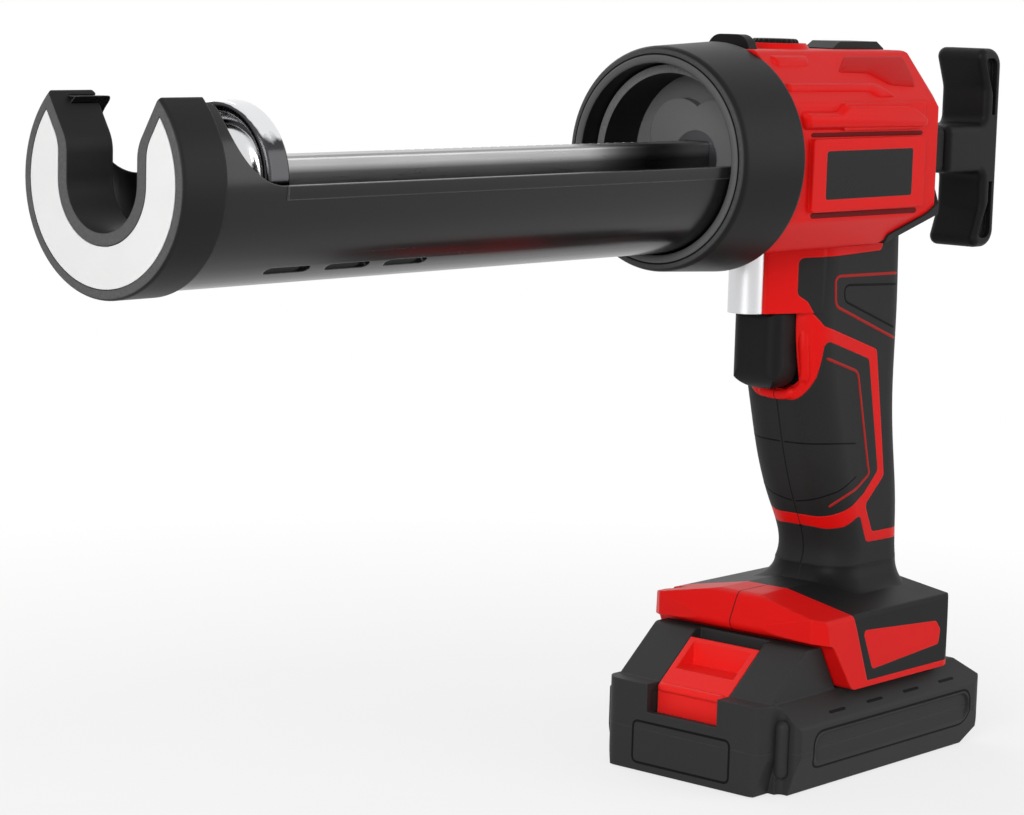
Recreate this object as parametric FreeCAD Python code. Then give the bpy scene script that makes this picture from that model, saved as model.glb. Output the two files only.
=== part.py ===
"""Cordless caulking tool, every piece in millimetres.

While the pieces are drawn, x runs back from the face of the nose, z runs up from the axis of the barrel,
and the left side of the tool has negative y. At the end each piece is moved so that the origin lies under
the middle of the tool, on the surface that its battery stands on.
"""
import FreeCAD, Part
import math
import os

Vector = FreeCAD.Vector
ALONG_X = Vector(1, 0, 0)
ALONG_Y = Vector(0, 1, 0)
ALONG_Z = Vector(0, 0, 1)
ORIGIN = Vector(0, 0, 0)

# Fits and cuts
OVERRUN = 6.0
RUN_GAP = 0.3
SEAT_GAP = 0.2
BUSH_GAP = 0.05

# Cartridge tray
CARTRIDGE_R = 25.0
CARTRIDGE_PLAY = 1.0
TRAY_WALL = 2.1
TRAY_LENGTH = 218.0
TRAY_RIM_DROP = 0.5
TRAY_BEAD_HEIGHT = 3.5
TRAY_BEAD_PROUD = 0.4
TRAY_SWEEP_R = 18.0
TRAY_EAR_LENGTH = 3.3
TRAY_EAR_RISE = 20.0
TRAY_EAR_ROUND = 2.0
TRAY_SLOT_LENGTH = 16.0
TRAY_SLOT_WIDTH = 3.2
TRAY_SLOT_PITCH = 22.0
TRAY_SLOT_SETBACK = 25.0
TRAY_SLOT_COUNT = 3
TRAY_SLOT_TILT_DEG = 35.0

# Nose
NOSE_PROUD = 1.3
NOSE_DEPTH = 15.2
NOSE_SOCKET = 9.2
NOSE_ROUND = 1.2
NOSE_SLOT_HALF = 13.0
NOSE_SLOT_DROP = 12.7
NOSE_SLOT_SIDE = 9.0
NOSE_FLARE_HALF = 20.4
NOSE_FLARE_RISE = 21.4
NOSE_FLARE_ROUND = 10.0
NOSE_TIP_ROUND = 3.0
INSERT_INSET = 2.9
INSERT_BORDER = 3.3
INSERT_THICK = 2.4

# Hoop at the rear end of the tray, rear collar and front plate of the drive
HOOP_LENGTH = 16.0
HOOP_WALL = 2.5
HOOP_FLANGE_LAP = 1.7
HOOP_FLANGE_THICK = 4.0
COLLAR_GAP = 0.5
COLLAR_WALL = 3.0
COLLAR_FLARE = 1.4
COLLAR_DEPTH = 27.9
COLLAR_ROUND = 2.2
PLATE_THICK = 4.8
PLATE_LOBE_R = 11.0
PLATE_LOBE_OFFSET = 9.5
PLATE_LOBE_RISE = 3.3
PLATE_LOBE_COUNT = 4

# Push rod, pusher cup and pull handle
ROD_HALF = 5.0
ROD_EDGE_R = 1.0
ROD_SPIGOT_R = 3.0
BUSH_WALL = 3.2
BUSH_TAIL = 4.0
PUSHER_SETBACK = 22.8
PUSHER_R = 19.5
PUSHER_DEPTH = 8.0
PUSHER_RIM = 2.4
PUSHER_DISH = 4.6
PUSHER_DOME_R = 7.0
PUSHER_ROUND = 1.2
NUT_HALF_FLATS = 8.6
NUT_THICK = 5.0
PULL_REACH = 59.0
PULL_HEIGHT = 67.0
PULL_WIDTH = 19.0
PULL_HUB_HEIGHT = 16.0
PULL_HUB_LENGTH = 31.0
PULL_TIP_DEPTH = 14.0
PULL_WAIST_DEPTH = 8.5
PULL_WAIST_SHARE = 0.6
PULL_CORNER_R = 6.0
PULL_EDGE_R = 2.5
PULL_POCKET_DEPTH = 2.0
PULL_POCKET_MARGIN = 3.2
PULL_SCREW_HEAD_R = 4.5
PULL_SCREW_HEAD = 3.0
PULL_SCREW_R = 2.0
PULL_SCREW_LENGTH = 16.0
PULL_CAP = 7.0
BUFFER_LENGTH = 9.0
BUFFER_HEIGHT = 14.5
BUFFER_WIDTH = 15.0
BUFFER_ROUND = 2.0

# Rack and gears: the counter gear drives the rack, the gear motor drives the counter gear
PRESSURE_ANGLE_DEG = 20.0
ADDENDUM_SHARE = 0.7
DEDENDUM_SHARE = 0.95
BACKLASH = 0.2
FLANK_STEPS = 4
RACK_MODULE = 1.25
RACK_TIP_FLAT = 0.35
RACK_LENGTH = 232.0
RACK_LEAD = 34.0
PINION_TEETH = 12
PINION_FACE = 7.0
SPUR_MODULE = 1.0
COUNTER_TEETH = 22
OUTPUT_TEETH = 11
SPUR_FACE = 6.0
SPUR_DROP = 2.5
COUNTER_SHAFT_R = 3.0
OUTPUT_SHAFT_R = 2.5
OUTPUT_SHAFT_LENGTH = 19.0
BEARING_WALL = 3.0
BEARING_HEIGHT = 3.5
FRAME_PLATE = 5.5
FRAME_MARGIN = 3.0
FRAME_LIFT = 1.3
FRAME_WEB = 2.9
FRAME_WEB_GAP = 0.8

# Motor
MOTOR_SETBACK = 67.0
MOTOR_R = 12.0
MOTOR_LENGTH = 34.0
MOTOR_WALL = 3.5
GEARBOX_LENGTH = 22.0
MOTOR_CAP = 2.0
MOTOR_TAB = 3.5
MOTOR_TAB_WIDTH = 3.0
MOTOR_TAB_THICK = 0.8
MOTOR_TAB_HALF = 5.0

# Drive housing
BODY_LENGTH = 88.9
BODY_RISE = 33.0
BODY_DROP = 28.0
BODY_HALF = 30.0
BODY_WALL = 2.5
BODY_ROOF_HALF = 15.0
BODY_BROW = 17.5
BODY_BELLY = 18.0
BODY_KEEL_HALF = 21.0
BODY_ROOF_CUT = 9.0
BODY_ROOF_FALL = 13.0
BODY_HEEL_CUT = 30.0
BODY_HEEL_RISE = 16.0
BODY_CORNER_CUT = 10.6
BODY_CORNER_NARROW = 9.2
BODY_ROUND = 3.0
BODY_FACET_TURN_DEG = 57.0
BODY_FACET_RUN = 11.3
BODY_FACET_FALL = 17.4
PANEL_SETBACK = 9.4
PANEL_LENGTH = 60.0
PANEL_TOP = 6.8
PANEL_DROP = 15.3
PANEL_PROUD = 1.6
PANEL_ROUND = 1.0
LABEL_MARGIN_X = 6.8
LABEL_MARGIN_Z = 3.7
LABEL_THICK = 1.2
RIB_SETBACK = 25.0
RIB_LENGTH = 44.0
RIB_TOP = 17.5
RIB_DROP = 8.3
RIB_PROUD = 1.2
BUMPER_THICK = 1.0
BUMPER_WRAP = 2.0
BUMPER_SHARE = 0.9
GUIDE_R = 12.0
GUIDE_FLANGE = 3.0
GUIDE_SLEEVE_R = 8.5
GUIDE_SLEEVE = 9.0

# Controls on the roof
LEVER_SETBACK = 8.3
LEVER_THICK = 4.0
LEVER_HALF = 8.0
LEVER_PROUD = 4.3
LEVER_ROUND = 5.0
LEVER_HUB_R = 2.6
LEVER_PIN_DEPTH = 3.8
LEVER_PIN_R = 1.2
LEVER_CHEEK = 3.0
LEVER_SWING = 3.0
DIAL_SETBACK = 30.2
DIAL_R = 7.4
DIAL_BOSS_RISE = 1.8
DIAL_BOSS_WALL = 2.0
DIAL_BOSS_SPREAD = 3.0
DIAL_PROUD = 3.1
DIAL_HEIGHT = 6.0
DIAL_STEM_R = 3.0
DIAL_STEM = 7.0
DIAL_STEM_GRIP = 3.0
DIAL_KNURLS = 24
DIAL_KNURL_R = 0.7
DIAL_ROUND = 1.2
POT_HALF = 7.5
POT_HEIGHT = 9.0
BUTTON_SETBACK = 67.9
BUTTON_LENGTH = 28.0
BUTTON_WIDTH = 11.0
BUTTON_PROUD = 2.5
BUTTON_HEIGHT = 6.0
BUTTON_SLOPE = 4.0
BUTTON_SPRING = 4.5
BUTTON_SPRING_R = 3.0
BUTTON_WIRE_R = 0.4
BUTTON_TURNS = 3
KEY_SWITCH_HALF_LENGTH = 7.0
KEY_SWITCH_HALF_WIDTH = 6.0
KEY_SWITCH_HEIGHT = 8.0

# Grip: sections run down the handle as shares of its length, depth and width
HANDLE_SINK = 2.0
HANDLE_LENGTH = 115.0
HANDLE_SETBACK = 64.9
GRIP_DEPTH = 48.0
GRIP_WIDTH = 33.0
GRIP_CORNER_R = 11.0
GRIP_ROOT = 13.0
GRIP_SKIN = 1.8
GRIP_WALL = 2.0
FLARE_FRONT = 8.0
FLARE_SIDE = 7.0
FLARE_REAR = 3.0
FLARE_SWEEP_DEG = 75.0
FLARE_STEPS = 5
GRIP_SECTION_SHARES = (
    (0.0, -0.096, 1.104, 1.0),
    (0.191, -0.087, 1.117, 1.0),
    (0.33, -0.075, 1.085, 1.0),
    (0.47, -0.031, 1.002, 1.0),
    (0.591, 0.025, 0.95, 1.0),
    (0.765, 0.147, 0.856, 0.97),
    (0.87, 0.217, 0.783, 0.93),
    (0.93, 0.21, 0.81, 0.95),
)
BACK_PANEL_SHARES = (
    (-0.694, 0.049), (-0.694, 0.149), (-0.623, 0.168), (-0.575, 0.2), (-0.498, 0.237), (0.098, 0.317),
    (0.25, 0.682), (0.054, 0.757), (0.167, 0.84), (1.3, 0.843), (1.3, -0.15), (0.2, -0.15), (0.1, 0.039),
)
PALM_PANEL_SHARES = (
    (-0.484, 0.276), (0.0125, 0.342), (0.173, 0.665), (0.021, 0.725), (-0.135, 0.763), (-0.244, 0.787),
    (-0.417, 0.783), (-1.0, 0.765), (-1.0, 0.464), (-0.552, 0.462), (-0.536, 0.425), (-0.508, 0.378),
    (-0.494, 0.32),
)
BASE_PANEL_SHARES = (
    (-1.0, 0.791), (-0.27, 0.805), (-0.198, 0.824), (-0.115, 0.815), (0.0, 0.781), (0.108, 0.868),
    (1.3, 0.875), (1.3, 1.01), (-1.0, 1.01),
)
PANEL_CORNER_R = 2.0

# Neck in front of the grip, silver post and trigger
NECK_SETBACK = 20.9
NECK_LENGTH = 40.0
NECK_DROP = 21.0
NECK_SPREAD = 19.0
NECK_TUCK = 1.1
NECK_LIP = 0.8
NECK_CORNER_R = 2.0
POST_R = 6.0
TRIGGER_SETBACK = 24.4
TRIGGER_DEPTH = 12.0
TRIGGER_HALF = 9.0
TRIGGER_HEIGHT = 24.6
TRIGGER_ROUND = 4.5
TRIGGER_TOE_R = 8.0
TRIGGER_EDGE_R = 2.0
TRIGGER_TRAVEL = 6.0
TRIGGER_STOP = 1.0
PLUNGER_R = 2.5
PLUNGER_BITE = 3.0
PLUNGER_DROP = 11.0
TRIGGER_SPRING_R = 4.2
TRIGGER_WIRE_R = 0.4
TRIGGER_TURNS = 4
SWITCH_DEPTH = 11.0
SWITCH_HALF = 8.0
SWITCH_HEIGHT = 24.0

# Foot and the black saddle over it
FOOT_LAP = 3.0
FOOT_HEIGHT = 28.0
FOOT_SETBACK = 16.9
FOOT_LENGTH = 78.0
FOOT_HALF = 36.0
FOOT_LEAN = 2.2
FOOT_BOW = 3.3
FOOT_CORNER_CUT = 9.0
FOOT_CORNER_NARROW = 6.0
FOOT_CORNER_R = 9.0
FOOT_SHOULDER_RUN = 26.0
FOOT_SHOULDER_FALL = 5.0
FOOT_ROUND = 3.0
FOOT_WALL = 3.0
FOOT_TOE_SHARE = (0.12, 0.464)
FOOT_HEEL_SHARE = (0.237, 1.0)
FOOT_PROFILE_SHARES = (
    (0.07, 0.0), (0.0, 0.404), FOOT_TOE_SHARE, FOOT_HEEL_SHARE, (0.974, 1.0), (1.0, 0.296), (0.927, 0.0),
)
SADDLE_THICK = 1.6
SADDLE_SHARES = (
    (0.27, -1.0), (0.27, 0.19), (0.286, 0.32), (0.346, 0.932), (1.3, 0.932), (1.3, -1.0),
)
SADDLE_ROUND = 1.5
INLAY_SHARES = ((0.33, 0.36), (0.86, 0.455), (0.89, 0.56), (0.87, 0.73), (0.385, 0.82))
RAIL_NECK_HALF = 19.0
RAIL_HEAD_HALF = 23.0
RAIL_NECK = 4.4
RAIL_HEAD = 6.3
RAIL_GAP = 0.4
RAIL_ROOF = 2.0
BLOCK_LENGTH = 17.0
BLOCK_HALF = 18.0
BLOCK_HEIGHT = 7.0
BLADE_SPACING = 14.0
BLADE_THICK = 0.8
BLADE_DEPTH = 6.0
BLADE_MARGIN = 1.5
BLADE_COUNT = 3
BOARD_LENGTH = 44.0
BOARD_SETBACK = 3.0
BOARD_HALF = 19.0
BOARD_THICK = 1.6
CHIP_LENGTH = 12.0
CHIP_HALF = 6.0
CHIP_HEIGHT = 2.0

# Battery
BATTERY_LENGTH = 115.0
BATTERY_HALF = 38.0
BATTERY_HEIGHT = 28.3
BATTERY_SETBACK = 5.1
BATTERY_NOSE = 10.0
BATTERY_NOSE_HALF = 31.0
BATTERY_NOSE_TAPER = 2.6
BATTERY_CORNER_R = 5.0
BATTERY_EDGE_R = 2.0
BATTERY_HEEL_R = 6.0
BATTERY_HEEL_CUT = 8.0
BATTERY_HEEL_RISE = 6.0
BATTERY_TAPER = 3.6
BATTERY_TAPER_RISE = 11.6
BATTERY_SHOULDER_RUN = 8.0
BATTERY_SHOULDER_FALL = 7.0
BATTERY_ROUND = 2.0
BATTERY_SPLIT = 13.6
BATTERY_WALL = 2.4
BATTERY_LABEL_DEPTH = 0.8
BATTERY_LABEL_MARGIN = 9.0
BATTERY_LABEL_DROP = 10.0
BATTERY_LABEL_HEIGHT = 10.0
HUMP_HALF = 30.0
HUMP_LEAD = 3.0
HUMP_RISE = 14.5
HUMP_TOP_LEAD = 24.0
HUMP_GAP = 0.8
LATCH_HALF = 13.5
LATCH_TRAVEL = 3.0
LATCH_PROUD = 0.6
LATCH_FACE = 8.4
LATCH_LEAD = 5.2
LATCH_DEPTH = 6.0
LATCH_THICK = 5.0
LATCH_TOP_LEAD = 21.5
LATCH_RIM = 2.2
LATCH_SILL = 1.0
LATCH_SCOOP_SHARES = (0.36, 0.92)
LATCH_SPRING_R = 2.2
LATCH_WIRE_R = 0.35
LATCH_TURNS = 5
LATCH_SPRING = 9.0
CELL_R = 9.15
CELL_HALF = 32.5
CELL_PITCH = 19.0
CELL_COUNT = 5
CELL_REST = 0.15
CLIP_THICK = 0.6
CLIP_LENGTH = 12.0
TERMINAL_SLOT_HALF = 2.0
TERMINAL_SLOT_DEPTH = 7.5
BATTERY_BOARD_HALF = 20.0
BATTERY_SCREW_HALF = 25.5
BATTERY_SCREW_SETBACK = 6.2
BATTERY_BOSS_R = 2.6
BATTERY_SCREW_R = 1.2
BATTERY_SCREW_HEAD_R = 2.2
BATTERY_SCREW_HEAD = 2.0
BATTERY_SCREW_LENGTH = 18.0

# Housing screws: places along the tool and down from the axis, and the half width of the housing there
SCREW_R = 1.4
SCREW_HEAD_R = 2.8
SCREW_HEAD = 2.2
SCREW_RECESS = 2.4
SCREW_BITE = 8.0
SCREW_BOSS_R = 3.6
BODY_SCREW_SHARES = ((0.1, -0.62), (0.1, 0.55), (0.91, 0.53))
GRIP_SCREW_SHARES = ((-0.47, 0.085), (0.02, 0.56), (0.17, 0.81))
FOOT_SCREW_SHARES = ((0.16, 0.23),)
FOOT_SCREW_HALF = 30.0
CRADLE_SHARES = (0.25, 0.42)
CRADLE_THICK = 2.0

# Stations worked out from the sizes above
TRAY_IN_R = CARTRIDGE_R + CARTRIDGE_PLAY
TRAY_R = TRAY_IN_R + TRAY_WALL
NOSE_R = TRAY_R + NOSE_PROUD
TRAY_FRONT = NOSE_DEPTH - NOSE_SOCKET
TRAY_REAR = TRAY_FRONT + TRAY_LENGTH
EAR_REAR = NOSE_DEPTH + TRAY_EAR_LENGTH
HOOP_REAR = TRAY_REAR + HOOP_LENGTH
COLLAR_BORE_R = TRAY_R + COLLAR_GAP
FLANGE_R = COLLAR_BORE_R + HOOP_FLANGE_LAP
COLLAR_SEAT_R = FLANGE_R + RUN_GAP
COLLAR_R = COLLAR_SEAT_R + COLLAR_WALL
PLATE_FRONT = HOOP_REAR + RUN_GAP
BODY_FRONT = PLATE_FRONT + PLATE_THICK
COLLAR_FRONT = BODY_FRONT - COLLAR_DEPTH
BODY_REAR = BODY_FRONT + BODY_LENGTH
BOSS_FRONT = PLATE_FRONT - PLATE_LOBE_RISE
BUSH_R = ROD_HALF + BUSH_WALL
PUSHER_FRONT = NOSE_DEPTH + PUSHER_SETBACK
PUSHER_REAR = PUSHER_FRONT + PUSHER_DEPTH
PULL_REAR = BODY_REAR + PULL_REACH
PULL_FRONT = PULL_REAR - PULL_HUB_LENGTH
ROD_REAR = PULL_REAR - PULL_CAP
BUFFER_FRONT = PULL_FRONT - BUFFER_LENGTH
MOTOR_X = BODY_FRONT + MOTOR_SETBACK
RACK_PITCH_Y = ROD_HALF - RACK_TIP_FLAT - ADDENDUM_SHARE * RACK_MODULE
PINION_R = RACK_MODULE * PINION_TEETH / 2
COUNTER_R = SPUR_MODULE * COUNTER_TEETH / 2
OUTPUT_R = SPUR_MODULE * OUTPUT_TEETH / 2
COUNTER_Y = RACK_PITCH_Y + PINION_R
COUNTER_X = MOTOR_X - math.sqrt((COUNTER_R + OUTPUT_R) ** 2 - COUNTER_Y ** 2)
SPUR_TOP = -ROD_HALF - SPUR_DROP
SPUR_FOOT = SPUR_TOP - SPUR_FACE
FRAME_FLOOR = SPUR_FOOT - RUN_GAP
FRAME_BASE = FRAME_FLOOR - FRAME_PLATE
FRAME_ROOF = ROD_HALF + FRAME_LIFT
WEB_Y = COUNTER_Y + COUNTER_R + ADDENDUM_SHARE * SPUR_MODULE + FRAME_WEB_GAP
BEARING_R = COUNTER_SHAFT_R + BEARING_WALL
GEARBOX_BASE = FRAME_BASE - GEARBOX_LENGTH
MOTOR_BASE = GEARBOX_BASE - MOTOR_LENGTH
MOTOR_CAP_BASE = MOTOR_BASE - MOTOR_CAP
HANDLE_X = BODY_FRONT + HANDLE_SETBACK
HANDLE_TOP = HANDLE_SINK - BODY_DROP
HANDLE_END = HANDLE_TOP - HANDLE_LENGTH
NECK_FRONT = BODY_FRONT + NECK_SETBACK
NECK_FOOT = -BODY_DROP - NECK_DROP
TRIGGER_FRONT = BODY_FRONT + TRIGGER_SETBACK
TRIGGER_REAR = TRIGGER_FRONT + TRIGGER_DEPTH
TRIGGER_TOP = NECK_FOOT - RUN_GAP
TRIGGER_FOOT = TRIGGER_TOP - TRIGGER_HEIGHT
SWITCH_FRONT = TRIGGER_REAR + TRIGGER_TRAVEL + TRIGGER_STOP
PLUNGER_Z = TRIGGER_TOP - PLUNGER_DROP
LEVER_X = BODY_FRONT + LEVER_SETBACK
LEVER_PIN_Z = BODY_RISE - LEVER_PIN_DEPTH
DIAL_X = BODY_FRONT + DIAL_SETBACK
DIAL_TOP = BODY_RISE + DIAL_PROUD
DIAL_BASE = DIAL_TOP - DIAL_HEIGHT
POT_TOP = DIAL_BASE - DIAL_STEM + DIAL_STEM_GRIP
BUTTON_X = BODY_FRONT + BUTTON_SETBACK
BUTTON_TOP = BODY_RISE + BUTTON_PROUD
BUTTON_BASE = BUTTON_TOP - BUTTON_HEIGHT
KEY_SWITCH_TOP = BUTTON_BASE - BUTTON_SPRING
FOOT_X = BODY_FRONT + FOOT_SETBACK
FOOT_TOP = HANDLE_END + FOOT_LAP
FOOT_BASE = FOOT_TOP - FOOT_HEIGHT
FOOT_REAR = FOOT_X + FOOT_LENGTH
RAIL_NECK_TOP = FOOT_BASE + RAIL_NECK
RAIL_HEAD_TOP = RAIL_NECK_TOP + RAIL_HEAD
CHANNEL_TOP = RAIL_HEAD_TOP + RAIL_GAP
CHANNEL_REAR = FOOT_REAR - FOOT_WALL
BLOCK_REAR = CHANNEL_REAR - SEAT_GAP
BLOCK_TOP = CHANNEL_TOP + BLOCK_HEIGHT
BLADE_FOOT = CHANNEL_TOP - BLADE_DEPTH
BATTERY_TOP = FOOT_BASE - RUN_GAP
BATTERY_BASE = BATTERY_TOP - BATTERY_HEIGHT
BATTERY_FRONT = BODY_FRONT - BATTERY_SETBACK
BATTERY_REAR = BATTERY_FRONT + BATTERY_LENGTH
BATTERY_SEAM = BATTERY_BASE + BATTERY_SPLIT
PLATFORM_REAR = CHANNEL_REAR - RAIL_GAP
SLOT_FLOOR = RAIL_HEAD_TOP - TERMINAL_SLOT_DEPTH
CELL_X = BATTERY_FRONT + BATTERY_NOSE + BATTERY_WALL + CELL_R + CELL_REST
CELL_Z = BATTERY_BASE + BATTERY_WALL + CELL_R + CELL_REST
LATCH_X = BATTERY_FRONT + LATCH_LEAD
LATCH_SLOPE_FOOT = BATTERY_TOP - HUMP_LEAD / 2
LATCH_BASE = LATCH_SLOPE_FOOT - LATCH_FACE


def box(x, y, z):
    """A block between two limits along each axis."""
    corner = Vector(x[0], y[0], z[0])
    return Part.makeBox(x[1] - x[0], y[1] - y[0], z[1] - z[0], corner)


def both(half):
    return (-half, half)


def cyl_x(radius, x, y=0, z=0):
    return Part.makeCylinder(radius, x[1] - x[0], Vector(x[0], y, z), ALONG_X)


def cyl_y(radius, y, x, z):
    return Part.makeCylinder(radius, y[1] - y[0], Vector(x, y[0], z), ALONG_Y)


def cyl_z(radius, z, x, y=0):
    return Part.makeCylinder(radius, z[1] - z[0], Vector(x, y, z[0]), ALONG_Z)


def outline(points, radius=0):
    """A closed wire through the points, each corner rounded by an arc as far as its edges leave room."""
    count = len(points)
    radii = radius if isinstance(radius, (list, tuple)) else [radius] * count
    sides = [points[(i + 1) % count] - points[i] for i in range(count)]
    halves = [sides[i].getAngle(sides[i - 1] * -1) / 2 for i in range(count)]
    wanted = [radii[i] / math.tan(halves[i]) for i in range(count)]
    fit_share = 0.98
    reach = list(wanted)
    for i in range(count):
        j = (i + 1) % count
        total = wanted[i] + wanted[j]
        if total > fit_share * sides[i].Length:
            squeeze = fit_share * sides[i].Length / total
            reach[i] = min(reach[i], wanted[i] * squeeze)
            reach[j] = min(reach[j], wanted[j] * squeeze)
    starts, ends, edges = [], [], []
    for i, point in enumerate(points):
        back = (sides[i - 1] * -1).normalize()
        ahead = Vector(sides[i]).normalize()
        starts.append(point + back * reach[i])
        ends.append(point + ahead * reach[i])
        if reach[i] > 0:
            turn_r = reach[i] * math.tan(halves[i])
            inward = (back + ahead).normalize()
            middle = point + inward * (turn_r / math.sin(halves[i]) - turn_r)
            edges.append(Part.Arc(starts[i], middle, ends[i]).toShape())
        if i:
            edges.append(Part.makeLine(ends[i - 1], starts[i]))
    edges.append(Part.makeLine(ends[-1], starts[0]))
    return Part.Wire(Part.__sortEdges__(edges))


def slab_x(points, x, radius=0):
    """An outline drawn in y and z, filled, and thick along x."""
    wire = outline([Vector(x[0], py, pz) for py, pz in points], radius)
    return Part.Face(wire).extrude(ALONG_X * (x[1] - x[0]))


def slab_y(points, y, radius=0):
    """An outline drawn in x and z, filled, and thick along y."""
    wire = outline([Vector(px, y[0], pz) for px, pz in points], radius)
    return Part.Face(wire).extrude(ALONG_Y * (y[1] - y[0]))


def slab_z(points, z, radius=0):
    """An outline drawn in x and y, filled, and thick along z."""
    wire = outline([Vector(px, py, z[0]) for px, py in points], radius)
    return Part.Face(wire).extrude(ALONG_Z * (z[1] - z[0]))


def turned_x(points, radius=0):
    """An outline drawn in x and distance from the barrel's axis, turned round that axis."""
    wire = outline([Vector(px, 0, pr) for px, pr in points], radius)
    return Part.Face(wire).revolve(ORIGIN, ALONG_X, 360)


def corners(x, z):
    return ((x[0], z[0]), (x[1], z[0]), (x[1], z[1]), (x[0], z[1]))


def mirrored(shape):
    return shape.mirror(ORIGIN, ALONG_Y)


def turned_about_x(shape, degrees):
    copy = shape.copy()
    copy.rotate(ORIGIN, ALONG_X, degrees)
    return copy


def edges_where(shape, test):
    return [edge for edge in shape.Edges if test(edge.CenterOfMass, edge)]


def solids_of(shape):
    """The shape's solids as one clean compound, or the one solid by itself."""
    tidy = shape.removeSplitter()
    return tidy.Solids[0] if len(tidy.Solids) == 1 else Part.makeCompound(tidy.Solids)


def involute(angle):
    return math.tan(angle) - angle


def gear(teeth, module, z, x, y, bore_r, pointing):
    """A spur gear about a vertical axis, with one tooth pointing along the given angle in radians."""
    pressure = math.radians(PRESSURE_ANGLE_DEG)
    pitch_r = module * teeth / 2
    base_r = pitch_r * math.cos(pressure)
    root_r = pitch_r - DEDENDUM_SHARE * module
    tip_r = pitch_r + ADDENDUM_SHARE * module
    low_r = max(base_r, root_r)
    half_tooth = math.pi / (2 * teeth) - BACKLASH / (4 * pitch_r) + involute(pressure)
    flank = [(root_r, half_tooth)] if root_r < base_r else []
    for step in range(FLANK_STEPS + 1):
        radius = low_r + (tip_r - low_r) * step / FLANK_STEPS
        flank.append((radius, half_tooth - involute(math.acos(base_r / radius))))
    points = []
    for tooth in range(teeth):
        centre = pointing + 2 * math.pi * tooth / teeth
        points += [(r, centre - a) for r, a in flank]
        points += [(r, centre + a) for r, a in reversed(flank)]
    plan = [(x + r * math.cos(a), y + r * math.sin(a)) for r, a in points]
    return slab_z(plan, z).cut(cyl_z(bore_r, (z[0] - OVERRUN, z[1] + OVERRUN), x, y))


def arc_from(start, heading, end):
    """The arc that leaves start along heading and reaches end."""
    chord = end - start
    normal = chord - heading * chord.dot(heading)
    if normal.Length < BUSH_GAP / 1000:
        return Part.makeLine(start, end)
    normal.normalize()
    turn_r = chord.dot(chord) / (2 * chord.dot(normal))
    centre = start + normal * turn_r
    middle = (start - centre) + (end - centre)
    return Part.Arc(start, centre + middle.normalize() * turn_r, end).toShape()


def coil(radius, wire_r, length, turns, start, axis):
    """A wound spring: one tube along a helix, drawn as two tangent arcs to every quarter turn."""
    across = ALONG_Z if abs(axis.dot(ALONG_Z)) < 0.5 else ALONG_X
    side = axis.cross(across)
    rise = (length - 2 * wire_r) / (2 * math.pi * turns)
    foot = start + axis * wire_r

    def place(t):
        return foot + (across * math.cos(t) + side * math.sin(t)) * radius + axis * (rise * t)

    def heading(t):
        return ((side * math.cos(t) - across * math.sin(t)) * radius + axis * rise).normalize()

    edges = []
    steps = 4 * turns
    for step in range(steps):
        t0 = 2 * math.pi * turns * step / steps
        t1 = 2 * math.pi * turns * (step + 1) / steps
        p0, p1, h0, h1 = place(t0), place(t1), heading(t0), heading(t1)
        chord = p1 - p0
        both_h = h0 + h1
        bend = 2 * (1 - h0.dot(h1))
        along = chord.dot(both_h)
        reach = (math.sqrt(along * along + bend * chord.dot(chord)) - along) / bend
        joint = (p0 + h0 * reach + p1 - h1 * reach) * 0.5
        edges.append(arc_from(p0, h0, joint))
        edges.append(arc_from(p1, h1 * -1, joint))
    path = Part.Wire(Part.__sortEdges__(edges))
    ring = Part.Wire(Part.makeCircle(wire_r, place(0), heading(0)))
    gap = 2 * math.pi * rise - 2 * wire_r
    print("spring of", turns, "turns: least gap to itself", round(gap, 2), "mm")
    return path.makePipeShell([ring], True, False)


def nose_slot(border):
    """The U-shaped opening of the nose, widened by a border."""
    half = NOSE_SLOT_HALF + border
    flare = NOSE_FLARE_HALF + border
    top = NOSE_R + OVERRUN
    right = [(half, -NOSE_SLOT_DROP - border), (half, NOSE_SLOT_SIDE), (flare, NOSE_FLARE_RISE), (flare, top)]
    left = [(-py, pz) for py, pz in reversed(right)]
    radii = [half, NOSE_FLARE_ROUND, NOSE_TIP_ROUND, 0]
    return slab_x(right + left, (-OVERRUN, NOSE_DEPTH + OVERRUN), radii + radii[::-1])


def nose_insert():
    plate = cyl_x(NOSE_R - INSERT_INSET, (0, INSERT_THICK))
    return plate.cut(nose_slot(INSERT_BORDER))


def nose_collar():
    ring = turned_x(corners((0, NOSE_DEPTH), (0, NOSE_R)), [0, 0, NOSE_ROUND, NOSE_ROUND])
    pocket = cyl_x(NOSE_R - INSERT_INSET + SEAT_GAP, (-OVERRUN, INSERT_THICK))
    pocket = pocket.cut(nose_slot(INSERT_BORDER - SEAT_GAP))
    groove = cyl_x(TRAY_R + SEAT_GAP, (TRAY_FRONT, NOSE_DEPTH + OVERRUN))
    groove = groove.cut(cyl_x(TRAY_IN_R - SEAT_GAP, (TRAY_FRONT, NOSE_DEPTH + OVERRUN)))
    return solids_of(ring.cut([nose_slot(0), pocket, groove]))


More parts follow.
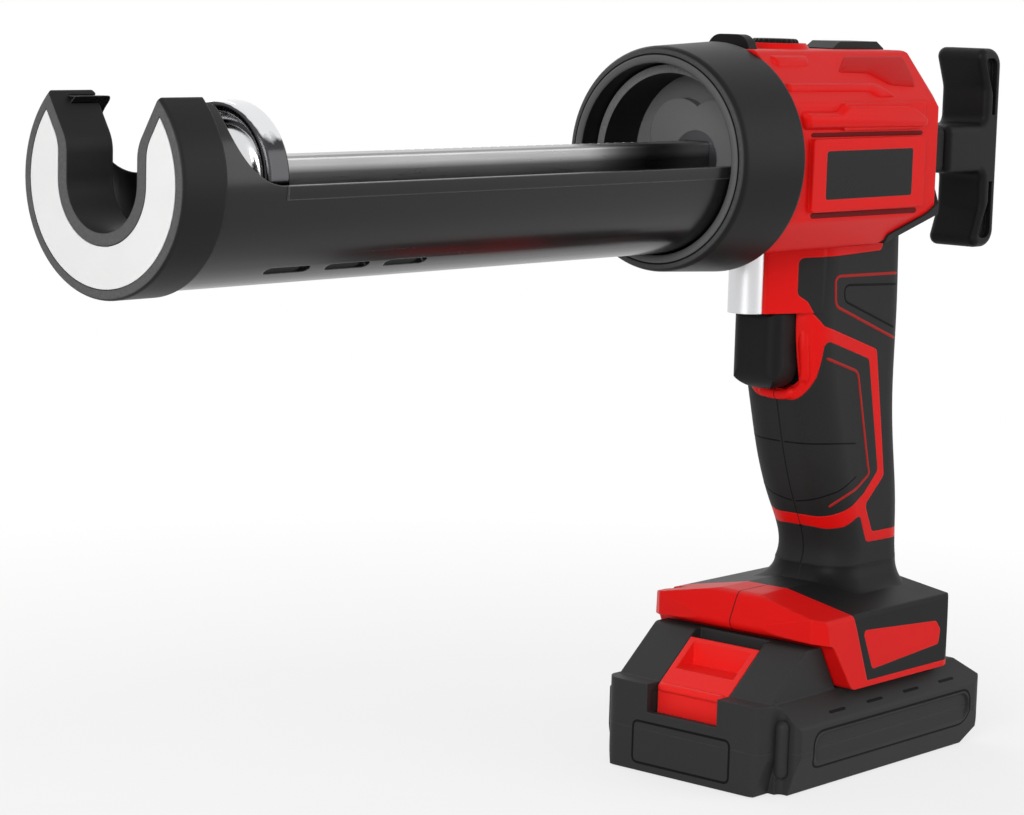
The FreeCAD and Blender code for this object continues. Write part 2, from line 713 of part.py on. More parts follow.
def barrel_tray():
    """A half tube whose walls sweep up to ears at the nose, with beaded rims and slots along its sides."""
    length = (TRAY_FRONT, TRAY_REAR)
    tube = cyl_x(TRAY_R, length).cut(cyl_x(TRAY_IN_R, length))
    bead_x = (EAR_REAR + TRAY_SWEEP_R, COLLAR_FRONT - RUN_GAP)
    bead = cyl_x(TRAY_R + TRAY_BEAD_PROUD, bead_x).cut(cyl_x(TRAY_IN_R, bead_x))
    bead_z = (-TRAY_RIM_DROP - TRAY_BEAD_HEIGHT, -TRAY_RIM_DROP)
    bead = bead.common(box(bead_x, both(NOSE_R), bead_z))
    clear = NOSE_R + OVERRUN
    open_top = [
        (TRAY_FRONT - OVERRUN, TRAY_EAR_RISE),
        (EAR_REAR, TRAY_EAR_RISE),
        (EAR_REAR, -TRAY_RIM_DROP),
        (TRAY_REAR + OVERRUN, -TRAY_RIM_DROP),
        (TRAY_REAR + OVERRUN, clear),
        (TRAY_FRONT - OVERRUN, clear),
    ]
    tray = tube.cut(slab_y(open_top, both(clear), [0, TRAY_EAR_ROUND, TRAY_SWEEP_R, 0, 0, 0])).fuse(bead)
    slots = []
    for index in range(TRAY_SLOT_COUNT):
        front = NOSE_DEPTH + TRAY_SLOT_SETBACK + TRAY_SLOT_PITCH * index
        window = [(front, -TRAY_SLOT_WIDTH / 2), (front + TRAY_SLOT_LENGTH, -TRAY_SLOT_WIDTH / 2),
                  (front + TRAY_SLOT_LENGTH, TRAY_SLOT_WIDTH / 2), (front, TRAY_SLOT_WIDTH / 2)]
        cutter = slab_z(window, (-clear, -TRAY_IN_R / 2), TRAY_SLOT_WIDTH / 2)
        slots += [turned_about_x(cutter, TRAY_SLOT_TILT_DEG), turned_about_x(cutter, -TRAY_SLOT_TILT_DEG)]
    return solids_of(tray.cut(slots))


def tray_hoop():
    inner = TRAY_R - HOOP_WALL
    profile = [(TRAY_REAR, inner), (HOOP_REAR, inner), (HOOP_REAR, FLANGE_R),
               (HOOP_REAR - HOOP_FLANGE_THICK, FLANGE_R), (HOOP_REAR - HOOP_FLANGE_THICK, TRAY_R),
               (TRAY_REAR, TRAY_R)]
    return turned_x(profile)


def barrel_collar():
    shoulder = HOOP_REAR - HOOP_FLANGE_THICK - RUN_GAP
    profile = [(COLLAR_FRONT, COLLAR_BORE_R), (shoulder, COLLAR_BORE_R), (shoulder, COLLAR_SEAT_R),
               (BODY_FRONT, COLLAR_SEAT_R), (BODY_FRONT, COLLAR_R + COLLAR_FLARE), (COLLAR_FRONT, COLLAR_R)]
    return turned_x(profile, [0, 0, 0, 0, 0, COLLAR_ROUND])


def gear_plate():
    """The front plate of the drive with its lobed boss, bored for the rod's bush."""
    plate = cyl_x(COLLAR_SEAT_R - SEAT_GAP, (PLATE_FRONT, BODY_FRONT))
    lobe = cyl_x(PLATE_LOBE_R, (BOSS_FRONT, PLATE_FRONT), 0, PLATE_LOBE_OFFSET)
    turns = [360 * (index + 0.5) / PLATE_LOBE_COUNT for index in range(PLATE_LOBE_COUNT)]
    lobes = [turned_about_x(lobe, turn) for turn in turns]
    return solids_of(plate.fuse(lobes).cut(cyl_x(BUSH_R, (BOSS_FRONT - OVERRUN, BODY_FRONT + OVERRUN))))


def rod_bar(gap, x):
    """A length of the square push rod with rounded edges, widened by a gap."""
    return slab_x(corners(both(ROD_HALF + gap), both(ROD_HALF + gap)), x, ROD_EDGE_R + gap)


def rod_front_bush():
    length = (BOSS_FRONT, BODY_FRONT + BUSH_TAIL)
    return cyl_x(BUSH_R, length).cut(rod_bar(BUSH_GAP, length))


def rod_rear_guide():
    flange = cyl_x(GUIDE_R, (BODY_REAR, BODY_REAR + GUIDE_FLANGE))
    sleeve = cyl_x(GUIDE_SLEEVE_R, (BODY_REAR - GUIDE_SLEEVE, BODY_REAR))
    bore = rod_bar(BUSH_GAP, (BODY_REAR - GUIDE_SLEEVE, BODY_REAR + GUIDE_FLANGE))
    return solids_of(flange.fuse(sleeve).cut(bore))


def rack_teeth():
    """What is cut from the rod's right side: a flat, and a row of gaps with one gap facing the pinion."""
    pitch = math.pi * RACK_MODULE
    slope = math.tan(math.radians(PRESSURE_ANGLE_DEG))
    tip = RACK_PITCH_Y + ADDENDUM_SHARE * RACK_MODULE
    root = RACK_PITCH_Y - DEDENDUM_SHARE * RACK_MODULE
    half_gap = pitch / 4 + BACKLASH / 4
    wide = half_gap + (tip - RACK_PITCH_Y) * slope
    narrow = half_gap - (RACK_PITCH_Y - root) * slope
    rear = COUNTER_X + RACK_LEAD
    count = int(RACK_LENGTH / pitch)
    first = COUNTER_X + pitch * math.floor(RACK_LEAD / pitch)
    points = [(rear, tip)]
    for index in range(count):
        centre = first - pitch * index
        points += [(centre + wide, tip), (centre + narrow, root)]
        points += [(centre - narrow, root), (centre - wide, tip)]
    front = rear - RACK_LENGTH
    points += [(front, tip), (front, ROD_HALF + OVERRUN), (rear, ROD_HALF + OVERRUN)]
    return slab_z(points, both(ROD_HALF + OVERRUN))


def pull_screw():
    head = cyl_x(PULL_SCREW_HEAD_R, (PULL_REAR - PULL_SCREW_HEAD, PULL_REAR))
    tip = PULL_REAR - PULL_SCREW_HEAD - PULL_SCREW_LENGTH
    return solids_of(head.fuse(cyl_x(PULL_SCREW_R, (tip, PULL_REAR - PULL_SCREW_HEAD))))


def push_rod():
    bar = rod_bar(0, (PUSHER_REAR, ROD_REAR))
    bar = bar.cut([rack_teeth(), pull_screw()])
    dish = PUSHER_FRONT + PUSHER_DISH
    return solids_of(bar.fuse(cyl_x(ROD_SPIGOT_R, (dish, PUSHER_REAR))))


def piston():
    """A turned cup: a rim round a dished face, with a dome over the end of the rod."""
    dish = PUSHER_FRONT + PUSHER_DISH
    profile = [(PUSHER_REAR, 0), (PUSHER_REAR, PUSHER_R), (PUSHER_FRONT, PUSHER_R),
               (PUSHER_FRONT, PUSHER_R - PUSHER_RIM), (dish, PUSHER_R - 2 * PUSHER_RIM), (dish, 0)]
    cup = turned_x(profile, [0, PUSHER_ROUND, PUSHER_ROUND, PUSHER_ROUND, PUSHER_RIM, 0])
    cup = cup.cut(cyl_x(ROD_SPIGOT_R, (dish - OVERRUN, PUSHER_REAR + OVERRUN)))
    dome = Part.makeSphere(PUSHER_DOME_R, Vector(dish + PUSHER_DOME_R / 2, 0, 0))
    dome = dome.common(cyl_x(PUSHER_DOME_R, (PUSHER_FRONT - OVERRUN, dish)))
    return solids_of(cup.fuse(dome))


def piston_nut():
    corner_r = NUT_HALF_FLATS / math.cos(math.pi / 6)
    angles = [math.pi * index / 3 for index in range(6)]
    ring = [(corner_r * math.cos(a), corner_r * math.sin(a)) for a in angles]
    length = (PUSHER_REAR, PUSHER_REAR + NUT_THICK)
    return slab_x(ring, length).cut(rod_bar(0, length))


def rod_buffer():
    half_z = BUFFER_HEIGHT / 2
    half_y = BUFFER_WIDTH / 2
    length = (BUFFER_FRONT, PULL_FRONT)
    block = slab_x(corners(both(half_y), both(half_z)), length, BUFFER_ROUND)
    return block.cut(rod_bar(0, length))


def pull_outline(margin):
    """The side view of the T-shaped handle, drawn in by a margin."""
    top = PULL_HEIGHT / 2 - margin
    hub = PULL_HUB_HEIGHT / 2 - margin
    rear = PULL_REAR - margin
    waist = PULL_REAR - PULL_WAIST_DEPTH + margin
    tip = PULL_REAR - PULL_TIP_DEPTH + margin
    upper = [(rear, top), (tip, top), (waist, top * PULL_WAIST_SHARE), (waist, hub)]
    upper.append((PULL_FRONT + margin, hub))
    lower = [(px, -pz) for px, pz in reversed(upper)]
    radii = [PULL_CORNER_R, PULL_CORNER_R / 2, PULL_CORNER_R, PULL_CORNER_R / 2, PULL_EDGE_R]
    return upper + lower, radii + radii[::-1]


def t_handle():
    points, radii = pull_outline(0)
    half = PULL_WIDTH / 2
    grip = slab_y(points, both(half), radii)
    rims = edges_where(grip, lambda centre, edge: abs(abs(centre.y) - half) < BUSH_GAP)
    grip = grip.makeFillet(PULL_EDGE_R, rims)
    inner, inner_radii = pull_outline(PULL_POCKET_MARGIN)
    wing = slab_y(inner, (half - PULL_POCKET_DEPTH, half + OVERRUN), [r / 2 for r in inner_radii])
    clear = PULL_HUB_HEIGHT / 2 + PULL_POCKET_MARGIN
    hub = box((PULL_FRONT - OVERRUN, PULL_REAR + OVERRUN), both(half + OVERRUN), both(clear))
    pocket = wing.cut(hub)
    bore = rod_bar(0, (PULL_FRONT - OVERRUN, ROD_REAR))
    return solids_of(grip.cut([pocket, mirrored(pocket), bore, pull_screw()]))


def counter_shaft():
    level = (FRAME_FLOOR - BEARING_HEIGHT, FRAME_ROOF + BEARING_HEIGHT)
    return cyl_z(COUNTER_SHAFT_R, level, COUNTER_X, COUNTER_Y)


def rack_pinion():
    level = both(PINION_FACE / 2)
    return gear(PINION_TEETH, RACK_MODULE, level, COUNTER_X, COUNTER_Y, COUNTER_SHAFT_R, -math.pi / 2)


def counter_gear():
    """The larger spur gear, with one tooth pointing at the output pinion."""
    pointing = math.atan2(-COUNTER_Y, MOTOR_X - COUNTER_X)
    level = (SPUR_FOOT, SPUR_TOP)
    return gear(COUNTER_TEETH, SPUR_MODULE, level, COUNTER_X, COUNTER_Y, COUNTER_SHAFT_R, pointing)


def output_pinion():
    """The motor's pinion, with a gap where the counter gear's tooth points."""
    facing = math.atan2(COUNTER_Y, COUNTER_X - MOTOR_X)
    level = (SPUR_FOOT, SPUR_TOP)
    return gear(OUTPUT_TEETH, SPUR_MODULE, level, MOTOR_X, 0, OUTPUT_SHAFT_R, facing + math.pi / OUTPUT_TEETH)


def output_shaft():
    return cyl_z(OUTPUT_SHAFT_R, (SPUR_TOP - OUTPUT_SHAFT_LENGTH, SPUR_TOP), MOTOR_X)


def shaft_bearings():
    low = (FRAME_FLOOR - BEARING_HEIGHT, FRAME_FLOOR)
    high = (FRAME_ROOF, FRAME_ROOF + BEARING_HEIGHT)
    rings = []
    for level in (low, high):
        ring = cyl_z(BEARING_R, level, COUNTER_X, COUNTER_Y)
        rings.append(ring.cut(cyl_z(COUNTER_SHAFT_R + BUSH_GAP, level, COUNTER_X, COUNTER_Y)))
    return Part.makeCompound(rings)


def gear_frame():
    """A C-shaped frame: floor and roof hold the counter shaft's bearings, and a web joins them."""
    reach = BEARING_R + FRAME_MARGIN
    web_y = (WEB_Y, WEB_Y + FRAME_WEB)
    x = (COUNTER_X - reach, COUNTER_X + reach)
    top = FRAME_ROOF + FRAME_PLATE
    level = (FRAME_BASE, FRAME_FLOOR)
    floor = box(x, (-MOTOR_R, web_y[1]), level).fuse(box((x[0], MOTOR_X + MOTOR_R), both(MOTOR_R), level))
    roof = box(x, (COUNTER_Y - reach, web_y[1]), (FRAME_ROOF, top))
    web = box(x, web_y, (FRAME_BASE, top))
    seats = [cyl_z(BEARING_R, (FRAME_FLOOR - BEARING_HEIGHT, FRAME_FLOOR), COUNTER_X, COUNTER_Y),
             cyl_z(BEARING_R, (FRAME_ROOF, FRAME_ROOF + BEARING_HEIGHT), COUNTER_X, COUNTER_Y),
             cyl_z(OUTPUT_SHAFT_R + RUN_GAP, (FRAME_BASE - OVERRUN, FRAME_FLOOR + OVERRUN), MOTOR_X)]
    return solids_of(floor.fuse([roof, web]).cut(seats))


def gearbox_case():
    case = cyl_z(MOTOR_R, (GEARBOX_BASE, FRAME_BASE), MOTOR_X)
    bore = cyl_z(OUTPUT_SHAFT_R + BUSH_GAP, (SPUR_TOP - OUTPUT_SHAFT_LENGTH - RUN_GAP, FRAME_BASE), MOTOR_X)
    return case.cut(bore)


def motor_can():
    can = cyl_z(MOTOR_R, (MOTOR_BASE, GEARBOX_BASE), MOTOR_X)
    return can.cut(cyl_z(MOTOR_R - MOTOR_WALL, (MOTOR_BASE, GEARBOX_BASE - MOTOR_WALL), MOTOR_X))


def motor_end_cap():
    cap = cyl_z(MOTOR_R, (MOTOR_CAP_BASE, MOTOR_BASE), MOTOR_X)
    half = MOTOR_TAB_WIDTH / 2
    tab_z = (MOTOR_CAP_BASE - MOTOR_TAB, MOTOR_CAP_BASE)
    tab = box((MOTOR_X - half, MOTOR_X + half), (MOTOR_TAB_HALF, MOTOR_TAB_HALF + MOTOR_TAB_THICK), tab_z)
    return solids_of(cap.fuse([tab, mirrored(tab)]))


def body_form(inset):
    """The drive housing's outer form drawn in by an inset: side view, section and plan in common."""
    front = BODY_FRONT + inset
    rear = BODY_REAR - inset
    top = BODY_RISE - inset
    low = inset - BODY_DROP
    half = BODY_HALF - inset
    side = [(front, top), (rear - BODY_ROOF_CUT, top), (rear, top - BODY_ROOF_FALL),
            (rear, low + BODY_HEEL_RISE), (rear - BODY_HEEL_CUT, low), (front, low)]
    right = [(BODY_ROOF_HALF, top), (half, BODY_BROW), (half, -BODY_BELLY), (BODY_KEEL_HALF, low)]
    section = right + [(-py, pz) for py, pz in reversed(right)]
    cut_x = rear - BODY_CORNER_CUT
    cut_y = half - BODY_CORNER_NARROW
    plan = [(front, -half), (cut_x, -half), (rear, -cut_y), (rear, cut_y), (cut_x, half), (front, half)]
    form = slab_y(side, both(half), [0, BODY_ROUND, BODY_ROUND, BODY_ROUND, BODY_ROUND, 0])
    form = form.common(slab_x(section, (front, rear), BODY_ROUND))
    facet = rear_facet(cut_x, half, top)
    return form.common(slab_z(plan, (low, top))).cut([facet, mirrored(facet)])


def rear_facet(x, y, top):
    """What is cut from the right rear corner of the roof: a plane that leans in from the corner's edge."""
    foot = top - BODY_FACET_FALL
    reach = BODY_LENGTH
    slope = BODY_FACET_RUN / BODY_FACET_FALL
    brink = -slope * (BODY_FACET_FALL + OVERRUN)
    points = [(0, foot), (brink, top + OVERRUN), (reach, top + OVERRUN), (reach, foot)]
    wedge = slab_y(points, both(reach))
    wedge.rotate(ORIGIN, ALONG_Z, BODY_FACET_TURN_DEG)
    wedge.translate(Vector(x, y, 0))
    return wedge


def side_panel(x, z, y, radius):
    return slab_y(corners(x, z), y, radius)


def label_place(grow):
    panel = BODY_FRONT + PANEL_SETBACK
    x = (panel + LABEL_MARGIN_X, panel + PANEL_LENGTH - LABEL_MARGIN_X)
    z = (LABEL_MARGIN_Z - PANEL_DROP, PANEL_TOP - LABEL_MARGIN_Z)
    y = (BODY_HALF + PANEL_PROUD - LABEL_THICK, BODY_HALF + PANEL_PROUD + grow)
    return side_panel(x, z, y, PANEL_ROUND)


def right_label_plate():
    return label_place(0)


def body_trim():
    """The raised frame round the label and the rib above it, on the right side."""
    x = (BODY_FRONT + PANEL_SETBACK, BODY_FRONT + PANEL_SETBACK + PANEL_LENGTH)
    root = BODY_HALF - BODY_WALL
    frame = side_panel(x, (-PANEL_DROP, PANEL_TOP), (root, BODY_HALF + PANEL_PROUD), PANEL_ROUND)
    rib_x = (BODY_FRONT + RIB_SETBACK, BODY_FRONT + RIB_SETBACK + RIB_LENGTH)
    rib = side_panel(rib_x, (RIB_TOP - RIB_DROP, RIB_TOP), (root, BODY_HALF + RIB_PROUD), PANEL_ROUND)
    return frame.cut(label_place(OVERRUN)).fuse(rib)


def dial_boss():
    """A low cone round the foot of the dial."""
    top_r = DIAL_R + RUN_GAP + DIAL_BOSS_WALL
    base = BODY_RISE - BODY_WALL
    foot = Vector(DIAL_X, 0, base)
    height = BODY_WALL + DIAL_BOSS_RISE
    return Part.makeCone(top_r + DIAL_BOSS_SPREAD, top_r, height, foot, ALONG_Z)


def rear_bumper():
    """A soft skin over the sloped heel of the housing, left open for the grip."""
    heel = Vector(BODY_REAR - BODY_HEEL_CUT, 0, -BODY_DROP)
    top = Vector(BODY_REAR, 0, BODY_HEEL_RISE - BODY_DROP)
    slope = top - heel
    start = top - slope * BUMPER_SHARE
    out = Vector(slope.z, 0, -slope.x).normalize()
    points = [start - out * BUMPER_WRAP, top - out * BUMPER_WRAP, top + out * OVERRUN, start + out * OVERRUN]
    strip = slab_y([(p.x, p.z) for p in points], both(BODY_HALF + OVERRUN))
    skin = body_form(-BUMPER_THICK).cut(body_form(0)).common(strip)
    return solids_of(skin.cut(handle_form(-SEAT_GAP)))


def grip_ring(x, half, z, inset):
    """One level rounded section between two limits along the tool, drawn in by an inset."""
    front = x[0] + inset
    rear = x[1] - inset
    wide = half - inset
    points = [(front, -wide), (rear, -wide), (rear, wide), (front, wide)]
    return outline([Vector(px, py, z) for px, py in points], GRIP_CORNER_R - inset)


def grip_limits(shares):
    """Front and rear, half width and level of the grip at one row of the shares."""
    down, shift, depth, width = shares
    centre = HANDLE_X + shift * GRIP_DEPTH
    reach = depth * GRIP_DEPTH / 2
    return (centre - reach, centre + reach), width * GRIP_WIDTH / 2, HANDLE_TOP - down * HANDLE_LENGTH


def handle_form(inset):
    """The grip as a loft through its sections, with the neck in front of it that narrows to the post."""
    sections = [grip_ring(*grip_limits(shares), inset) for shares in GRIP_SECTION_SHARES]
    grip = Part.makeLoft(sections, True, False)
    root = Part.Face(sections[0]).extrude(ALONG_Z * GRIP_ROOT)
    half = GRIP_WIDTH / 2 - NECK_TUCK - inset
    cheeks = [(NECK_FRONT + inset, POST_R + NECK_LIP - inset), (NECK_FRONT + NECK_SPREAD, half)]
    cheeks.append((NECK_FRONT + NECK_LENGTH, half))
    plan = cheeks + [(px, -py) for px, py in reversed(cheeks)]
    radii = [NECK_CORNER_R, NECK_CORNER_R, 0]
    neck = slab_z(plan, (NECK_FOOT + inset, HANDLE_TOP), radii + radii[::-1])
    return grip.fuse([neck, root])


def handle_core(inset):
    """The drawn-in grip, carried straight down into the foot."""
    x, half, z = grip_limits(GRIP_SECTION_SHARES[-1])
    column = Part.Face(grip_ring(x, half, z, inset)).extrude(ALONG_Z * (HANDLE_END - FOOT_WALL - z))
    return handle_form(inset).fuse(column)


def flare_form():
    """The hollow-cheeked flare between grip and foot: sections along a quarter of an ellipse."""
    x, half, z = grip_limits(GRIP_SECTION_SHARES[-1])
    sweep = math.radians(FLARE_SWEEP_DEG)
    sections = []
    for step in range(FLARE_STEPS + 1):
        turn = sweep * step / FLARE_STEPS
        out_share = (1 - math.cos(turn)) / (1 - math.cos(sweep))
        down_share = math.sin(turn) / math.sin(sweep)
        limits = (x[0] - FLARE_FRONT * out_share, x[1] - FLARE_REAR * out_share)
        level = z + (HANDLE_END - z) * down_share
        sections.append(grip_ring(limits, half + FLARE_SIDE * out_share, level, 0))
    return Part.makeLoft(sections, True, False)


def grip_place(share_x, share_z):
    return (HANDLE_X + share_x * GRIP_DEPTH, HANDLE_TOP - share_z * HANDLE_LENGTH)


def soft_zones():
    """The parts of the grip, seen from the side, that are covered by soft skin."""
    reach = both(FOOT_HALF)
    tables = (BACK_PANEL_SHARES, PALM_PANEL_SHARES, BASE_PANEL_SHARES)
    return [slab_y([grip_place(*share) for share in table], reach, PANEL_CORNER_R) for table in tables]


def foot_place(share_x, share_z):
    return (FOOT_X + share_x * FOOT_LENGTH, FOOT_TOP - share_z * FOOT_HEIGHT)


def foot_form():
    """The foot: side view, plan with a bowed front and slanted corners, and roofed section in common."""
    half = FOOT_HALF
    side = slab_y([foot_place(*share) for share in FOOT_PROFILE_SHARES], both(half), FOOT_ROUND)
    cut_x = FOOT_X + FOOT_CORNER_CUT
    right = [(FOOT_X + FOOT_BOW, half - FOOT_CORNER_NARROW), (cut_x, half), (FOOT_REAR, half)]
    left = [(px, -py) for px, py in reversed(right)]
    bows = [FOOT_ROUND / 2, FOOT_ROUND / 2, FOOT_CORNER_R]
    plan = slab_z([(FOOT_X, 0)] + right + left, (FOOT_BASE, FOOT_TOP), [0] + bows + bows[::-1])
    ridge = half - FOOT_LEAN
    upper = [(half, FOOT_BASE), (ridge, FOOT_TOP - FOOT_SHOULDER_FALL), (ridge - FOOT_SHOULDER_RUN, FOOT_TOP)]
    section = upper + [(-py, pz) for py, pz in reversed(upper)]
    radii = [0, FOOT_ROUND / 2, FOOT_ROUND]
    return side.common(plan).common(slab_x(section, (FOOT_X, FOOT_REAR), radii + radii[::-1]))


def foot_core(depth):
    """The foot drawn in by a depth from its top, its sides and its rear."""
    core = foot_form()
    for way in (ALONG_Y, ALONG_Y * -1, ALONG_Z * -1, ALONG_X * -1):
        moved = foot_form()
        moved.translate(way * depth)
        core = core.common(moved)
    return core


def saddle():
    """The black skin over the rear of the foot, with the flare up to the grip and a window in each side."""
    reach = both(FOOT_HALF + OVERRUN)
    border = [foot_place(*share) for share in SADDLE_SHARES]
    zone = slab_y(border, reach, [0, SADDLE_ROUND, SADDLE_ROUND, 0, 0, 0])
    window = slab_y([foot_place(*share) for share in INLAY_SHARES], reach, SADDLE_ROUND)
    core = foot_core(SADDLE_THICK)
    skin = foot_form().cut(core).common(zone).cut(window)
    channel = rail_channel(RAIL_GAP, (FOOT_X - OVERRUN, CHANNEL_REAR))
    return skin.fuse(flare_form().cut(core)).cut([handle_core(GRIP_SKIN), channel])


def rail_channel(gap, x):
    """The T-shaped space of the battery's rails, widened by a gap."""
    neck = box(x, both(RAIL_NECK_HALF + gap), (FOOT_BASE - OVERRUN, RAIL_NECK_TOP + gap))
    head = box(x, both(RAIL_HEAD_HALF + gap), (RAIL_NECK_TOP - gap, RAIL_HEAD_TOP + gap))
    return neck.fuse(head)


def terminal_block():
    x = (BLOCK_REAR - BLOCK_LENGTH, BLOCK_REAR)
    block = box(x, both(BLOCK_HALF), (CHANNEL_TOP, BLOCK_TOP))
    return block.cut(blades())


def blade_rows():
    middle = (BLADE_COUNT - 1) / 2
    return [BLADE_SPACING * (index - middle) for index in range(BLADE_COUNT)]


def blades():
    x = (BLOCK_REAR - BLOCK_LENGTH + BLADE_MARGIN, BLOCK_REAR - BLADE_MARGIN)
    half = BLADE_THICK / 2
    z = (BLADE_FOOT, BLOCK_TOP - BLADE_MARGIN)
    return Part.makeCompound([box(x, (y - half, y + half), z) for y in blade_rows()])


def control_board():
    rear = BLOCK_REAR - BOARD_SETBACK
    level = BLOCK_TOP + RUN_GAP
    board = box((rear - BOARD_LENGTH, rear), both(BOARD_HALF), (level, level + BOARD_THICK))
    chip_x = (rear - BOARD_LENGTH / 2, rear - BOARD_LENGTH / 2 + CHIP_LENGTH)
    chip = box(chip_x, both(CHIP_HALF), (level + BOARD_THICK, level + BOARD_THICK + CHIP_HEIGHT))
    return solids_of(board.fuse(chip))


def front_post():
    return cyl_z(POST_R, (NECK_FOOT, -BODY_DROP), NECK_FRONT)


def trigger():
    x = (TRIGGER_FRONT, TRIGGER_REAR)
    z = (TRIGGER_FOOT, TRIGGER_TOP)
    side = slab_y(corners(x, z), both(TRIGGER_HALF), [TRIGGER_TOE_R, 0, 0, TRIGGER_EDGE_R])
    face = corners(both(TRIGGER_HALF), z)
    rounded = slab_x(face, x, [TRIGGER_TOE_R, TRIGGER_TOE_R, 0, 0])
    plan = [(x[0], -TRIGGER_HALF), (x[1], -TRIGGER_HALF), (x[1], TRIGGER_HALF), (x[0], TRIGGER_HALF)]
    blunt = slab_z(plan, z, [TRIGGER_ROUND, 0, 0, TRIGGER_ROUND])
    return solids_of(side.common(rounded).common(blunt))


def trigger_plunger():
    return cyl_x(PLUNGER_R, (TRIGGER_REAR, SWITCH_FRONT + PLUNGER_BITE), 0, PLUNGER_Z)


def trigger_spring():
    start = Vector(TRIGGER_REAR, 0, PLUNGER_Z)
    return coil(TRIGGER_SPRING_R, TRIGGER_WIRE_R, SWITCH_FRONT - TRIGGER_REAR, TRIGGER_TURNS, start, ALONG_X)


def switch_box(gap):
    x = (SWITCH_FRONT - gap, SWITCH_FRONT + SWITCH_DEPTH + gap)
    z = (TRIGGER_TOP - SWITCH_HEIGHT - gap, TRIGGER_TOP + gap)
    return box(x, both(SWITCH_HALF + gap), z)


def trigger_switch():
    depth = PLUNGER_BITE + TRIGGER_TRAVEL + TRIGGER_STOP
    return switch_box(0).cut(cyl_x(PLUNGER_R + SEAT_GAP, (SWITCH_FRONT, SWITCH_FRONT + depth), 0, PLUNGER_Z))


def lever():
    """The lock tab: a rounded plate on a hub that turns on its pin."""
    top = BODY_RISE + LEVER_PROUD
    plate_x = (LEVER_X - LEVER_THICK / 2, LEVER_X + LEVER_THICK / 2)
    face = corners(both(LEVER_HALF), (LEVER_PIN_Z, top))
    plate = slab_x(face, plate_x, [0, 0, LEVER_ROUND, LEVER_ROUND])
    hub = cyl_y(LEVER_HUB_R, both(LEVER_HALF), LEVER_X, LEVER_PIN_Z)
    bore = cyl_y(LEVER_PIN_R + BUSH_GAP, both(LEVER_HALF), LEVER_X, LEVER_PIN_Z)
    return solids_of(plate.fuse(hub).cut(bore))


def lever_pin():
    return cyl_y(LEVER_PIN_R, both(LEVER_HALF + LEVER_CHEEK), LEVER_X, LEVER_PIN_Z)


def speed_dial():
    cap = cyl_z(DIAL_R, (DIAL_BASE, DIAL_TOP), DIAL_X)
    rim = edges_where(cap, lambda centre, edge: abs(centre.z - DIAL_TOP) < BUSH_GAP)
    cap = cap.makeFillet(DIAL_ROUND, rim)
    grooves = []
    for index in range(DIAL_KNURLS):
        angle = 2 * math.pi * index / DIAL_KNURLS
        x = DIAL_X + DIAL_R * math.cos(angle)
        y = DIAL_R * math.sin(angle)
        grooves.append(cyl_z(DIAL_KNURL_R, (DIAL_BASE - OVERRUN, DIAL_TOP + OVERRUN), x, y))
    stem = cyl_z(DIAL_STEM_R, (DIAL_BASE - DIAL_STEM, DIAL_BASE), DIAL_X)
    return solids_of(cap.cut(grooves).fuse(stem))


def pot_box(gap):
    x = (DIAL_X - POT_HALF - gap, DIAL_X + POT_HALF + gap)
    return box(x, both(POT_HALF + gap), (POT_TOP - POT_HEIGHT - gap, POT_TOP + gap))


def dial_potentiometer():
    depth = (DIAL_BASE - DIAL_STEM - RUN_GAP, POT_TOP)
    return pot_box(0).cut(cyl_z(DIAL_STEM_R + SEAT_GAP, depth, DIAL_X))


def top_button():
    front = BUTTON_X - BUTTON_LENGTH / 2
    rear = BUTTON_X + BUTTON_LENGTH / 2
    roof = BODY_RISE + RUN_GAP
    side = [(front, BUTTON_BASE), (rear, BUTTON_BASE), (rear, roof), (rear - BUTTON_SLOPE, BUTTON_TOP),
            (front + BUTTON_SLOPE, BUTTON_TOP), (front, roof)]
    return slab_y(side, both(BUTTON_WIDTH / 2))


def top_button_spring():
    start = Vector(BUTTON_X, 0, KEY_SWITCH_TOP)
    return coil(BUTTON_SPRING_R, BUTTON_WIRE_R, BUTTON_SPRING, BUTTON_TURNS, start, ALONG_Z)


def key_switch_box(gap):
    x = (BUTTON_X - KEY_SWITCH_HALF_LENGTH - gap, BUTTON_X + KEY_SWITCH_HALF_LENGTH + gap)
    z = (KEY_SWITCH_TOP - KEY_SWITCH_HEIGHT - gap, KEY_SWITCH_TOP + gap)
    return box(x, both(KEY_SWITCH_HALF_WIDTH + gap), z)


def button_switch():
    return key_switch_box(0)


def screw_places():
    """Where the housing screws go: along, up, and the half width of the housing at that place."""
    body = [(BODY_FRONT + sx * BODY_LENGTH, sz * BODY_RISE, BODY_HALF) for sx, sz in BODY_SCREW_SHARES]
    grip = [grip_place(*share) + (GRIP_WIDTH / 2,) for share in GRIP_SCREW_SHARES]
    foot = [foot_place(*share) + (FOOT_SCREW_HALF,) for share in FOOT_SCREW_SHARES]
    return body + grip + foot


def one_screw(x, z, half):
    seat = half - SCREW_RECESS - SCREW_HEAD
    head = cyl_y(SCREW_HEAD_R, (seat, half - SCREW_RECESS), x, z)
    return head.fuse(cyl_y(SCREW_R, (-SCREW_BITE, seat), x, z)).removeSplitter()


def housing_screws():
    return Part.makeCompound([one_screw(*place).Solids[0] for place in screw_places()])


def screw_bores():
    """The screws with the open recess outside each head."""
    bores = [one_screw(*place) for place in screw_places()]
    for x, z, half in screw_places():
        bores.append(cyl_y(SCREW_HEAD_R + SEAT_GAP, (half - SCREW_RECESS, half + OVERRUN), x, z))
    return bores


def cradles():
    """Level webs across the grip that hold the motor and the switch."""
    webs = []
    for share in CRADLE_SHARES:
        z = HANDLE_TOP - share * HANDLE_LENGTH
        webs.append(box((NECK_FRONT, BODY_REAR), both(GRIP_WIDTH / 2), (z, z + CRADLE_THICK)))
    return webs


